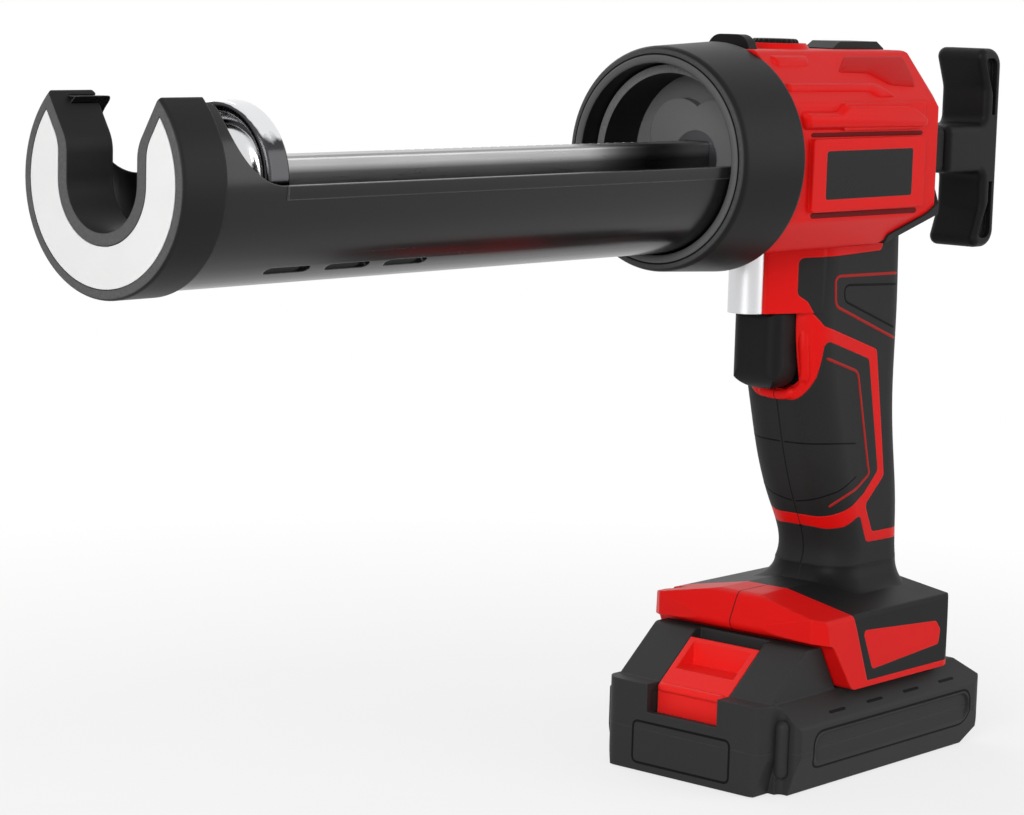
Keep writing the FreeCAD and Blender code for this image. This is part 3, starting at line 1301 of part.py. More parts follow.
def roof_mounts():
    """Webs under the roof that carry the lever's pin, the potentiometer and the button's switch."""
    cheek_x = (LEVER_X - LEVER_HUB_R - SEAT_GAP, LEVER_X + LEVER_HUB_R + LEVER_SWING + BODY_WALL)
    cheek_z = (LEVER_PIN_Z - LEVER_HUB_R - BODY_WALL, BODY_RISE - BODY_WALL / 2)
    inner = LEVER_HALF + RUN_GAP
    cheek = box(cheek_x, (inner, inner + LEVER_CHEEK), cheek_z)
    webs = [cheek, mirrored(cheek)]
    wide = BODY_HALF
    for x in (DIAL_X, BUTTON_X):
        webs.append(box((x - BODY_WALL / 2, x + BODY_WALL / 2), both(wide), (POT_TOP - POT_HEIGHT, POT_TOP)))
    return webs


def roof_openings():
    lever_x = (LEVER_X - LEVER_HUB_R - RUN_GAP, LEVER_X + LEVER_HUB_R + LEVER_SWING)
    lever_z = (LEVER_PIN_Z - LEVER_HUB_R - RUN_GAP, BODY_RISE + OVERRUN)
    half_length = BUTTON_LENGTH / 2 + RUN_GAP
    button_x = (BUTTON_X - half_length, BUTTON_X + half_length)
    button_z = (KEY_SWITCH_TOP, BODY_RISE + OVERRUN)
    return [
        box(lever_x, both(LEVER_HALF + RUN_GAP), lever_z),
        lever_pin(),
        cyl_z(DIAL_R + RUN_GAP, (POT_TOP, BODY_RISE + OVERRUN), DIAL_X),
        box(button_x, both(BUTTON_WIDTH / 2 + RUN_GAP), button_z),
    ]


def drive_pockets():
    """Room for the rod, the drive and the switches inside the housing."""
    reach = BEARING_R + FRAME_MARGIN + SEAT_GAP
    frame_z = (FRAME_BASE - SEAT_GAP, FRAME_ROOF + FRAME_PLATE + SEAT_GAP)
    frame_x = (COUNTER_X - reach, MOTOR_X + MOTOR_R + SEAT_GAP)
    frame_y = (-MOTOR_R - SEAT_GAP, WEB_Y + FRAME_WEB + SEAT_GAP)
    motor_z = (MOTOR_CAP_BASE - MOTOR_TAB - SEAT_GAP, FRAME_BASE + SEAT_GAP)
    trigger_x = (NECK_FRONT - OVERRUN, SWITCH_FRONT)
    trigger_z = (TRIGGER_FOOT - RUN_GAP, TRIGGER_TOP + RUN_GAP)
    return [
        box(frame_x, frame_y, frame_z),
        cyl_z(MOTOR_R + SEAT_GAP, motor_z, MOTOR_X),
        box(trigger_x, both(TRIGGER_HALF + RUN_GAP), trigger_z),
        switch_box(SEAT_GAP),
        pot_box(SEAT_GAP),
        key_switch_box(SEAT_GAP),
        cyl_x(BUSH_R, (BODY_FRONT - OVERRUN, BODY_FRONT + BUSH_TAIL)),
        cyl_x(GUIDE_SLEEVE_R, (BODY_FRONT, BODY_REAR + OVERRUN)),
        cyl_z(POST_R, (NECK_FOOT - OVERRUN, -BODY_DROP), NECK_FRONT),
    ]


def foot_pockets():
    """The channel for the battery's rails, and the room above it for the terminal block and the board."""
    channel = rail_channel(RAIL_GAP, (FOOT_X - OVERRUN, CHANNEL_REAR))
    front = foot_place(*FOOT_HEEL_SHARE)[0] + FOOT_WALL
    room = box((front, CHANNEL_REAR), both(FOOT_HALF), (CHANNEL_TOP + RAIL_ROOF, FOOT_TOP))
    room = room.common(foot_core(SADDLE_THICK + FOOT_WALL))
    block_x = (BLOCK_REAR - BLOCK_LENGTH - SEAT_GAP, CHANNEL_REAR)
    block_z = (CHANNEL_TOP - RAIL_GAP, BLOCK_TOP + SEAT_GAP)
    return [channel, room, box(block_x, both(BLOCK_HALF + SEAT_GAP), block_z)]


def housing():
    """Both housing halves in one: hollow drive housing, hard grip core with its red frame, and foot."""
    outer = handle_form(0)
    core = handle_core(GRIP_SKIN)
    zones = soft_zones()
    form = body_form(0)
    skin = outer.cut([core, form])
    soft = skin.common(zones[0]).fuse([skin.common(zone) for zone in zones[1:]])
    frame = skin.cut(zones)
    hollow = [body_form(BODY_WALL), handle_core(GRIP_SKIN + GRIP_WALL)]
    trim = [foot_form(), body_trim(), mirrored(body_trim()), dial_boss()]
    shell = form.fuse([core, frame] + trim).cut(hollow)
    inside = form.fuse([core, foot_form()])
    bosses = [cyl_y(SCREW_BOSS_R, both(half - SCREW_RECESS / 2), x, z) for x, z, half in screw_places()]
    webs = [web.common(inside) for web in bosses + cradles() + roof_mounts()]
    cuts = drive_pockets() + roof_openings() + foot_pockets() + screw_bores() + [saddle()]
    shell = shell.fuse(webs).cut(cuts)
    pockets = drive_pockets()
    soft = soft.cut([pockets[2], pockets[-1]] + screw_bores())
    return shell, soft


def halves(shape):
    """The left and the right half of a shape."""
    reach = PULL_REAR + OVERRUN
    left = box((-OVERRUN, reach), (-reach, 0), both(reach))
    right = box((-OVERRUN, reach), (0, reach), both(reach))
    return solids_of(shape.common(left)), solids_of(shape.common(right))


def battery_form(inset):
    """The battery's box drawn in by an inset, from its own front and base, and then put in its place.

    It is common to a plan with a narrower nose, a side view with a cut heel, and a section.
    """
    half = BATTERY_HALF - inset
    nose_half = BATTERY_NOSE_HALF - inset
    step = BATTERY_NOSE + inset
    front = inset
    rear = BATTERY_LENGTH - inset
    low = inset
    top = BATTERY_HEIGHT - inset
    run = BATTERY_SHOULDER_RUN
    fall = BATTERY_SHOULDER_FALL
    right = [(front, nose_half), (step, nose_half), (step, half), (rear, half)]
    radii = [BATTERY_CORNER_R - inset, BATTERY_EDGE_R, BATTERY_EDGE_R, BATTERY_HEEL_R - inset]
    plan = slab_z(right + [(px, -py) for px, py in reversed(right)], (low, top), radii + radii[::-1])
    side = [(front, low), (rear - BATTERY_HEEL_CUT, low), (rear, low + BATTERY_HEEL_RISE),
            (rear, top - fall), (rear - run, top), (front, top)]
    upper = [(half - BATTERY_TAPER, low), (half, low + BATTERY_TAPER_RISE)]
    upper += [(half, top - fall), (half - run, top)]
    section = upper + [(-py, pz) for py, pz in reversed(upper)]
    radii_up = [0, BATTERY_ROUND, BATTERY_ROUND, BATTERY_ROUND]
    nose = [(nose_half - BATTERY_NOSE_TAPER, low), (nose_half, low + BATTERY_TAPER_RISE), (nose_half, top)]
    nose_section = nose + [(-py, pz) for py, pz in reversed(nose)]
    nose_radii = [0, BATTERY_ROUND, 0]
    change = step - BATTERY_EDGE_R
    form = plan.common(slab_y(side, both(half), [0, 0, BATTERY_ROUND, BATTERY_ROUND, BATTERY_ROUND, 0]))
    sections = slab_x(section, (change, rear), radii_up + radii_up[::-1])
    form = form.common(sections.fuse(slab_x(nose_section, (front, change), nose_radii + nose_radii[::-1])))
    form.translate(Vector(BATTERY_FRONT, 0, BATTERY_BASE))
    return form


def battery_screw_places():
    return [(BATTERY_FRONT + BATTERY_SCREW_SETBACK, side * BATTERY_SCREW_HALF) for side in (-1, 1)]


def battery_screws():
    screws = []
    for x, y in battery_screw_places():
        head_z = (BATTERY_BASE + BATTERY_WALL, BATTERY_BASE + BATTERY_WALL + BATTERY_SCREW_HEAD)
        head = cyl_z(BATTERY_SCREW_HEAD_R, head_z, x, y)
        shank = cyl_z(BATTERY_SCREW_R, (head_z[1], head_z[1] + BATTERY_SCREW_LENGTH), x, y)
        screws.append(head.fuse(shank).removeSplitter().Solids[0])
    return Part.makeCompound(screws)


def screw_wells():
    z = (BATTERY_BASE - OVERRUN, BATTERY_BASE + BATTERY_WALL)
    return [cyl_z(BATTERY_SCREW_HEAD_R, z, x, y) for x, y in battery_screw_places()]


def battery_bosses(z):
    return [cyl_z(BATTERY_BOSS_R, z, x, y) for x, y in battery_screw_places()]


def label_recess():
    x = (BATTERY_FRONT + BATTERY_NOSE + BATTERY_LABEL_MARGIN, BATTERY_REAR - BATTERY_LABEL_MARGIN)
    top = BATTERY_TOP - BATTERY_LABEL_DROP
    y = (BATTERY_HALF - BATTERY_LABEL_DEPTH, BATTERY_HALF + OVERRUN)
    place = side_panel(x, (top - BATTERY_LABEL_HEIGHT, top), y, BATTERY_LABEL_HEIGHT / 2)
    return [place, mirrored(place)]


def latch_spring_x():
    return LATCH_X + LATCH_DEPTH / 2


def spring_post():
    z = (BATTERY_BASE + BATTERY_WALL, LATCH_BASE - LATCH_SPRING)
    return cyl_z(LATCH_SPRING_R + BATTERY_WALL / 2, z, latch_spring_x())


def seam_half(above):
    """The half of space above or below the seam of the battery's two cases."""
    z = (BATTERY_SEAM, BATTERY_TOP + OVERRUN) if above else (BATTERY_BASE - OVERRUN, BATTERY_SEAM)
    return box((BATTERY_FRONT - OVERRUN, BATTERY_REAR + OVERRUN), both(BATTERY_HALF + OVERRUN), z)


def battery_lower_case():
    floor = BATTERY_BASE + BATTERY_WALL
    tub = battery_form(0).cut(battery_form(BATTERY_WALL)).common(seam_half(False))
    tub = tub.fuse(battery_bosses((floor, BATTERY_SEAM)) + [spring_post()])
    return solids_of(tub.cut(label_recess() + screw_wells() + [battery_screws()]))


def hump_form():
    """The raised front of the battery: it slopes up from the nose and leans back against the foot."""
    heel = foot_place(*FOOT_HEEL_SHARE)
    toe = foot_place(*FOOT_TOE_SHARE)
    front = BATTERY_FRONT + HUMP_LEAD
    low = BATTERY_TOP - BATTERY_WALL
    top = BATTERY_TOP + HUMP_RISE
    lean = (heel[0] - toe[0]) / (toe[1] - heel[1])
    brink = heel[0] - HUMP_GAP - lean * (top - FOOT_BASE)
    side = [(front, low), (front + HUMP_LEAD / 2, BATTERY_TOP - HUMP_LEAD / 2),
            (BATTERY_FRONT + HUMP_TOP_LEAD, top), (brink, top),
            (heel[0] - HUMP_GAP, BATTERY_TOP), (heel[0] - HUMP_GAP, low)]
    return slab_y(side, both(HUMP_HALF), [0, HUMP_LEAD, HUMP_LEAD, HUMP_LEAD / 2, 0, 0])


def latch_slope():
    """Foot and top of the hump's slope, lifted so that the latch stands proud of it."""
    foot = (LATCH_X, LATCH_SLOPE_FOOT + LATCH_PROUD)
    run = LATCH_TOP_LEAD - LATCH_LEAD
    slope = (HUMP_RISE + HUMP_LEAD / 2) / (HUMP_TOP_LEAD - HUMP_LEAD * 3 / 2)
    top = (BATTERY_FRONT + LATCH_TOP_LEAD, LATCH_SLOPE_FOOT + LATCH_PROUD + run * slope)
    return foot, top


def battery_latch():
    foot, top = latch_slope()
    side = [(foot[0], LATCH_BASE), (foot[0] + LATCH_DEPTH, LATCH_BASE),
            (top[0] + LATCH_THICK, top[1] - LATCH_THICK), (top[0], top[1]), foot]
    button = slab_y(side, both(LATCH_HALF), [0, 0, 0, LATCH_PROUD, LATCH_PROUD])
    low, high = [(foot[0] + share * (top[0] - foot[0]), foot[1] + share * (top[1] - foot[1]))
                 for share in LATCH_SCOOP_SHARES]
    scoop = slab_y([low, (high[0], low[1]), high], both(LATCH_HALF - LATCH_RIM))
    return solids_of(button.cut(scoop))


def latch_pocket():
    """The space that the latch needs through its travel, open to the front above a sill."""
    foot, top = latch_slope()
    sink = LATCH_TRAVEL + RUN_GAP
    rear = top[0] + LATCH_THICK + RUN_GAP
    roof = BATTERY_TOP + HUMP_RISE + OVERRUN
    front = BATTERY_FRONT - OVERRUN
    inner = foot[0] - RUN_GAP
    sill = LATCH_BASE + LATCH_SILL
    side = [(front, sill), (inner, sill), (inner, LATCH_BASE - sink),
            (foot[0] + LATCH_DEPTH + RUN_GAP, LATCH_BASE - sink),
            (rear, top[1] - LATCH_THICK - sink), (rear, roof), (front, roof)]
    return slab_y(side, both(LATCH_HALF + RUN_GAP))


def latch_spring():
    start = Vector(latch_spring_x(), 0, LATCH_BASE - LATCH_SPRING)
    return coil(LATCH_SPRING_R, LATCH_WIRE_R, LATCH_SPRING, LATCH_TURNS, start, ALONG_Z)


def terminal_slots():
    x = (BLOCK_REAR - BLOCK_LENGTH - BLADE_MARGIN, PLATFORM_REAR + OVERRUN)
    half = TERMINAL_SLOT_HALF
    z = (SLOT_FLOOR, RAIL_HEAD_TOP + OVERRUN)
    return [box(x, (y - half, y + half), z) for y in blade_rows()]


def battery_upper_case():
    """The lid: a shell over the cells, the humped front with the latch's pocket, and the railed platform."""
    lid = battery_form(0).common(seam_half(True))
    heel = foot_place(*FOOT_HEEL_SHARE)[0]
    low = BATTERY_TOP - BATTERY_WALL
    platform_x = (heel - HUMP_GAP, PLATFORM_REAR)
    platform = rail_channel(0, platform_x).common(box(platform_x, both(RAIL_HEAD_HALF), (low, RAIL_HEAD_TOP)))
    lid = lid.fuse([hump_form(), platform])
    hollow_x = (heel + BATTERY_WALL, BLOCK_REAR - BLOCK_LENGTH - BATTERY_WALL - BLADE_MARGIN)
    hollow = box(hollow_x, both(RAIL_NECK_HALF - BATTERY_WALL), (BATTERY_SEAM, RAIL_HEAD_TOP - BATTERY_WALL))
    bosses = battery_bosses((BATTERY_SEAM, BATTERY_TOP - BATTERY_WALL))
    lid = lid.cut([battery_form(BATTERY_WALL), hollow]).fuse(bosses)
    well_z = (LATCH_BASE - LATCH_SPRING, LATCH_BASE)
    well = cyl_z(LATCH_SPRING_R + BATTERY_WALL / 2, well_z, latch_spring_x())
    cuts = terminal_slots() + label_recess() + [latch_pocket(), battery_screws(), well]
    return solids_of(lid.cut(cuts))


def battery_cells():
    return Part.makeCompound([cyl_y(CELL_R, both(CELL_HALF), CELL_X + CELL_PITCH * index, CELL_Z)
                              for index in range(CELL_COUNT)])


def battery_board():
    level = CELL_Z + CELL_R + RUN_GAP
    x = (CELL_X + CELL_R, CELL_X + CELL_PITCH * (CELL_COUNT - 1))
    return box(x, both(BATTERY_BOARD_HALF), (level, level + BOARD_THICK))


def battery_terminals():
    """A pair of spring leaves for each blade, standing in the terminal slots."""
    rear = BLOCK_REAR - BLADE_MARGIN
    x = (rear - CLIP_LENGTH, rear)
    inner = BLADE_THICK / 2 + RUN_GAP
    z = (SLOT_FLOOR, RAIL_HEAD_TOP - BLADE_MARGIN)
    leaves = []
    for y in blade_rows():
        leaves.append(box(x, (y + inner, y + inner + CLIP_THICK), z))
        leaves.append(box(x, (y - inner - CLIP_THICK, y - inner), z))
    return Part.makeCompound(leaves)


def all_parts():
    shell, soft = housing()
    left_housing, right_housing = halves(shell)
    left_grip, right_grip = halves(soft)
    left_saddle, right_saddle = halves(saddle())
    return {
        "nose_collar": nose_collar(),
        "nose_insert": nose_insert(),
        "barrel_tray": barrel_tray(),
        "tray_hoop": tray_hoop(),
        "barrel_collar": barrel_collar(),
        "gear_plate": gear_plate(),
        "rod_front_bush": rod_front_bush(),
        "rod_rear_guide": rod_rear_guide(),
        "push_rod": push_rod(),
        "piston": piston(),
        "piston_nut": piston_nut(),
        "rod_buffer": rod_buffer(),
        "t_handle": t_handle(),
        "t_handle_screw": pull_screw(),
        "counter_shaft": counter_shaft(),
        "rack_pinion": rack_pinion(),
        "counter_gear": counter_gear(),
        "output_shaft": output_shaft(),
        "output_pinion": output_pinion(),
        "shaft_bearings": shaft_bearings(),
        "gear_frame": gear_frame(),
        "gearbox_case": gearbox_case(),
        "motor_can": motor_can(),
        "motor_end_cap": motor_end_cap(),
        "left_housing": left_housing,
        "right_housing": right_housing,
        "left_grip": left_grip,
        "right_grip": right_grip,
        "left_foot_panel": left_saddle,
        "right_foot_panel": right_saddle,
        "left_label_plate": mirrored(right_label_plate()),
        "right_label_plate": right_label_plate(),
        "rear_bumper": rear_bumper(),
        "front_post": front_post(),
        "trigger": trigger(),
        "trigger_plunger": trigger_plunger(),
        "trigger_spring": trigger_spring(),
        "trigger_switch": trigger_switch(),
        "barrel_lock_lever": lever(),
        "lock_lever_pin": lever_pin(),
        "speed_dial": speed_dial(),
        "dial_potentiometer": dial_potentiometer(),
        "top_button": top_button(),
        "top_button_spring": top_button_spring(),
        "button_switch": button_switch(),
        "housing_screws": housing_screws(),
        "control_board": control_board(),
        "terminal_block": terminal_block(),
        "terminal_blades": blades(),
        "battery_lower_case": battery_lower_case(),
        "battery_upper_case": battery_upper_case(),
        "battery_cells": battery_cells(),
        "battery_board": battery_board(),
        "battery_terminals": battery_terminals(),
        "battery_screws": battery_screws(),
        "battery_latch": battery_latch(),
        "latch_spring": latch_spring(),
    }


os.makedirs("parts", exist_ok=True)
to_origin = Vector(-PULL_REAR / 2, 0, -BATTERY_BASE)
for name, shape in all_parts().items():
    shape = shape.copy()
    shape.translate(to_origin)
    shape.exportStep("parts/" + name + ".step")
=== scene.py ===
# %% [markdown]
# # A cordless caulking tool
# The solids come from a CAD model that is already packed: every piece is a node with its own place,
# in metres, and the nodes are grouped into bodies that move. This file dresses that model. It gives
# every node a finish, adds the small forms that a solid model leaves out, and sets up the studio
# and the camera.

# %% Load the packed model
import math
import bmesh
import bpy
import numpy as np
from mathutils import Matrix, Vector


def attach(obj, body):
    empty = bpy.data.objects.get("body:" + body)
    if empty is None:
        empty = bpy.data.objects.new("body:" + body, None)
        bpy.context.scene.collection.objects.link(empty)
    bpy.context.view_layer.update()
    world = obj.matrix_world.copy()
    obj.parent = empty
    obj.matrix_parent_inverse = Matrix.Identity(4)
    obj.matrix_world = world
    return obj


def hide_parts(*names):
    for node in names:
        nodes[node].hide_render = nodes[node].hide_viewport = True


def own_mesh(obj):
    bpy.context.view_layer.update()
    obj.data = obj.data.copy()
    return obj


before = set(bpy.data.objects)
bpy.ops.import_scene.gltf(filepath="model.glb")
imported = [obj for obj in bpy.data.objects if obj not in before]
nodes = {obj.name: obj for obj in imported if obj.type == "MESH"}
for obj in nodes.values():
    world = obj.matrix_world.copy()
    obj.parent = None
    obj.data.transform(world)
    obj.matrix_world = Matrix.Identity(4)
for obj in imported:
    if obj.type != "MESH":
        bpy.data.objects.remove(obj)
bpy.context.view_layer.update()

# %% [markdown]
# ## Measures
# Sizes on the real tool are easiest to read in millimetres, counted back from the face of the nose
# and up from the axis of the barrel. Two small functions turn such measures into the shared frame,
# so that each piece below can be written the way it would be measured with a ruler. The second one
# takes the three coordinates apart, because along most lines only one or two of them change.

# %% From ruler to frame
NOSE_TO_MIDDLE = 196.5
AXIS_HEIGHT = 194.6
SIDES = ((-1, "left"), (1, "right"))


def at(points):
    """Millimetres from nose face, middle and barrel axis -> metres: shift, then divide by 1000."""
    return (np.asarray(points, float) + (-NOSE_TO_MIDDLE, 0.0, AXIS_HEIGHT)) / 1000


def spots(x, y, z):
    """Places in the frame from three coordinates in mm; a single number holds for all of them."""
    return at(np.stack(np.broadcast_arrays(x, y, z), -1))


print("barrel axis in the frame:", at((0, 0, 0)))

# %% [markdown]
# ## Camera
# The photograph was taken with a long lens from the front left, a little above the tool. The
# camera's place and turn were worked out from the circles of the barrel, so here they are only
# written down: where it stands, which way it looks, and how far it is rolled.

# %% Camera
FOCAL_LENGTH, PICTURE_WIDTH = 106.1, 36.0
NEAREST_SEEN = 0.01
STANDPOINT = (-0.68688, -0.56063, 0.24496)
GAZE = (0.7479, 0.6492, -0.1387)
ROLL = math.radians(1.594)
lens = bpy.data.cameras.new("camera")
lens.lens, lens.sensor_width = FOCAL_LENGTH, PICTURE_WIDTH
lens.clip_start = NEAREST_SEEN
camera = bpy.data.objects.new("camera", lens)
bpy.context.scene.collection.objects.link(camera)
look = Vector(GAZE).normalized()
right = look.cross(Vector((0, 0, 1))).normalized()
up = right.cross(look)
turned_right = right * math.cos(ROLL) + up * math.sin(ROLL)
turned_up = up * math.cos(ROLL) - right * math.sin(ROLL)
facing = Matrix((turned_right, turned_up, -look)).transposed()
camera.matrix_world = Matrix.Translation(STANDPOINT) @ facing.to_4x4()
bpy.context.scene.camera = camera
print("camera stands at", tuple(round(v, 3) for v in camera.location))

# %% [markdown]
# ## Sums of sockets
# A finish is a small calculation over the surface. Wiring it node by node is hard to read, so one
# class wraps a socket and lets Python's own operators add the Math nodes. A second class holds a
# material while it is built and has a single method for every other kind of node: its settings come
# first, then what goes into its sockets.


# %% Socket arithmetic
class Socket:
    """One output of a node. Adding, multiplying or dividing sockets adds Math nodes."""

    def __init__(self, finish, socket):
        self.finish, self.socket = finish, socket

    def __add__(self, other):
        return self.finish.math("ADD", self, other)

    def __sub__(self, other):
        return self.finish.math("SUBTRACT", self, other)

    def __rsub__(self, other):
        return self.finish.math("SUBTRACT", other, self)

    def __mul__(self, other):
        return self.finish.math("MULTIPLY", self, other)

    def __truediv__(self, other):
        return self.finish.math("DIVIDE", self, other)

    def __rtruediv__(self, other):
        return self.finish.math("DIVIDE", other, self)

    def __abs__(self):
        return self.finish.math("ABSOLUTE", self)

    def most(self, other):
        """The larger of two values."""
        return self.finish.math("MAXIMUM", self, other)

    def clip(self):
        """The value held between 0 and 1."""
        return self.finish.node("ShaderNodeClamp", values={"Value": self})

    def siblings(self):
        """Every output of the same node, in the node's own order."""
        return [Socket(self.finish, socket) for socket in self.socket.node.outputs]

    __radd__ = __add__
    __rmul__ = __mul__


# %% A finish under construction
EDGE_GAIN = 7
BEVEL_SAMPLES = 4
PLAIN_SPECULAR = 0.5


class Finish:
    """A material being built. Object coordinates are the frame's metres, so patterns keep size."""

    def __init__(self, name):
        self.material = bpy.data.materials.new(name)
        self.material.use_nodes = True
        self.tree = self.material.node_tree
        self.tree.nodes.clear()
        self.place = self.node("ShaderNodeTexCoord", out="Object")
        self.facing = self.node("ShaderNodeTexCoord", out="Normal")

    def node(self, kind, settings=None, values=None, out=0):
        """Adds a node: settings first, then numbers or links for its sockets; gives one output."""
        made = self.tree.nodes.new(kind)
        for key, value in (settings or {}).items():
            setattr(made, key, value)
        for key, value in (values or {}).items():
            socket = made.inputs[key]
            if isinstance(value, Socket):
                self.tree.links.new(value.socket, socket)
            elif socket.type == "RGBA":
                socket.default_value = (*value[:3], 1)
            else:
                socket.default_value = value
        return Socket(self, made.outputs[out]) if made.outputs else None

    def math(self, operation, *terms):
        """One Math node on two terms, or on one."""
        return self.node("ShaderNodeMath", {"operation": operation}, dict(enumerate(terms)))

    def vector_math(self, operation, *terms):
        """One Vector Math node whose result is a number."""
        settings = {"operation": operation}
        return self.node("ShaderNodeVectorMath", settings, dict(enumerate(terms)), "Value")

    def axes(self, vector):
        """The x, y and z of a vector socket."""
        return self.node("ShaderNodeSeparateXYZ", values={0: vector}).siblings()

    def noise(self, size, detail=2, stretch=(1, 1, 1), rough=0.5):
        """Soft random spots of about the size in metres; a small stretch draws them out."""
        where = self.node("ShaderNodeMapping", values={"Vector": self.place, "Scale": stretch})
        values = {"Vector": where, "Scale": 1 / size, "Detail": detail, "Roughness": rough}
        return self.node("ShaderNodeTexNoise", values=values, out="Fac")

    def pebbles(self, size):
        """Distance to the nearest of many scattered points: 0 at a point, about 1 between them."""
        values = {"Vector": self.place, "Scale": 1 / size}
        return self.node("ShaderNodeTexVoronoi", values=values, out="Distance")

    def between(self, value, low, high, soft):
        """1 where the value lies between two limits, fading to 0 over a soft border."""
        return ((value - (low - soft)) / soft).clip() * (((high + soft) - value) / soft).clip()

    def blend(self, mask, first, second):
        """Two colours mixed by a mask."""
        settings = {"data_type": "RGBA"}
        return self.node("ShaderNodeMix", settings, {0: mask, 6: first, 7: second}, out=2)

    def rounded(self, radius):
        """A normal that turns smoothly over each edge, as if rounded by the radius."""
        return self.node("ShaderNodeBevel", {"samples": BEVEL_SAMPLES}, {"Radius": radius})

    def edges(self, normal):
        """How far a rounded normal leans off the plain one: 0 on faces, 1 from 31 degrees on."""
        plain = self.node("ShaderNodeNewGeometry", out="Normal")
        return ((1 - self.vector_math("DOT_PRODUCT", normal, plain)) * EDGE_GAIN).clip()

    def bump(self, height, depth, normal=None):
        """Tilts the normal by a height from 0 to 1 that stands for a depth in metres."""
        values = {"Height": height, "Distance": depth, "Strength": 1.0}
        if normal is not None:
            values["Normal"] = normal
        return self.node("ShaderNodeBump", values=values)

    def shade(self, **sockets):
        """Feeds the Principled shader by socket names, with _ for a space. Gives the material."""
        values = {key.replace("_", " "): value for key, value in sockets.items()}
        values["Specular IOR Level"] = values.pop("Specular", PLAIN_SPECULAR)
        self.show(self.node("ShaderNodeBsdfPrincipled", values=values))
        return self.material

    def show(self, shader, output="ShaderNodeOutputMaterial"):
        """Sends a shader to the surface."""
        self.node(output, values={"Surface": shader})


print("a finish has", len([word for word in vars(Finish) if word[0] != "_"]), "methods")

# %% [markdown]
# ## Studio
# The photograph has a plain white ground and soft light from everywhere, with a key light from the
# upper left. The floor is a pale sheet that keeps the tool's shadow; where the camera or a shiny
# surface looks past the tool, the floor and the world are simply white, so that the light on the
# tool itself can stay at a plain level.


# %% Light path mask
def seen_directly(finish):
    """1 for rays from the camera, a mirror-like surface or glass, 0 for light that spreads."""
    kinds = ("Is Camera Ray", "Is Glossy Ray", "Is Transmission Ray")
    straight, mirrored, through = (finish.node("ShaderNodeLightPath", out=kind) for kind in kinds)
    return straight.most(mirrored).most(through)


# %% Floor
FLOOR_HALF = 6.0
FLOOR_DROP = 0.0004
WHITE = (1, 1, 1)
NEAR_GLOW, FAR_GLOW = 0.72, 0.28
GLOW_START, GLOW_WIDTH = 0.2, 0.3
floor_finish = Finish("pale_floor")
paper = floor_finish.blend(floor_finish.noise(0.02, 3), (0.86, 0.86, 0.86), (0.9, 0.9, 0.9))
matt = floor_finish.node("ShaderNodeBsdfDiffuse", values={"Color": paper})
glow = floor_finish.node("ShaderNodeEmission", values={"Color": WHITE, "Strength": 1.0})
away = floor_finish.vector_math("LENGTH", floor_finish.place)
far = ((away - GLOW_START) / GLOW_WIDTH).clip()
share = seen_directly(floor_finish) * (NEAR_GLOW + far * FAR_GLOW)
floor_finish.show(floor_finish.node("ShaderNodeMixShader", values={0: share, 1: matt, 2: glow}))
square = FLOOR_HALF * np.array(((-1, -1), (1, -1), (1, 1), (-1, 1)))
floor_mesh = bpy.data.meshes.new("floor")
floor_mesh.from_pydata(np.insert(square, 2, -FLOOR_DROP, axis=1).tolist(), [], [(0, 1, 2, 3)])
floor_mesh.materials.append(floor_finish.material)
floor = bpy.data.objects.new("floor", floor_mesh)
bpy.context.scene.collection.objects.link(floor)
print("floor is", 2 * FLOOR_HALF, "m wide")

# %% World
SPREAD_LIGHT = 0.40
world = bpy.data.worlds.new("studio")
bpy.context.scene.world = world
world.use_nodes = True


class Sky(Finish):
    """The world's nodes, built with the same methods as a material."""

    def __init__(self):
        self.tree = world.node_tree
        self.tree.nodes.clear()


sky = Sky()
spread, white = (sky.node("ShaderNodeBackground", values={"Color": WHITE, "Strength": strength})
                 for strength in (SPREAD_LIGHT, 1.0))
mixed = sky.node("ShaderNodeMixShader", values={0: seen_directly(sky), 1: spread, 2: white})
sky.show(mixed, "ShaderNodeOutputWorld")
print("world lights the tool at", SPREAD_LIGHT)


# %% Lamps
def lamp(name, place, aim, size, watts):
    """A soft rectangular lamp at a place, turned to face a point."""
    data = bpy.data.lights.new(name, "AREA")
    data.shape = "RECTANGLE"
    data.size, data.size_y = size
    data.energy = watts
    made = bpy.data.objects.new(name, data)
    made.location = place
    made.rotation_euler = (Vector(aim) - Vector(place)).to_track_quat("-Z", "Y").to_euler()
    bpy.context.scene.collection.objects.link(made)
    print("lamp", name, "gives", watts, "W")


lamp("key", place=(-1.2, -0.5, 0.6), aim=(0, 0, 0.1), size=(0.7, 0.7), watts=11.5)
lamp("fill", place=(0.75, -1.0, 0.5), aim=(0, 0, 0.12), size=(0.8, 0.8), watts=4.2)
lamp("back", place=(0.3, 1.0, 0.9), aim=(0, 0, 0.15), size=(0.9, 0.6), watts=3.0)
bpy.context.scene.view_settings.view_transform = "Standard"

# %% [markdown]
# ## Moulded plastics
# Most of this tool is injection moulded. A mould is spark eroded, which leaves a fine even grain on
# the part, and it rubs off first along the edges, where the surface turns shiny and a little paler.
# One recipe covers all the moulded colours: grain as a bump, slow changes in gloss, a rounded edge,
# and light wear on that edge. Two extras add the seam of the red halves and painted light on the
# front faces.


# %% Moulded plastic
def times(colour, factor):
    """A colour made darker or paler: every channel times the factor."""
    return tuple(factor * channel for channel in colour)


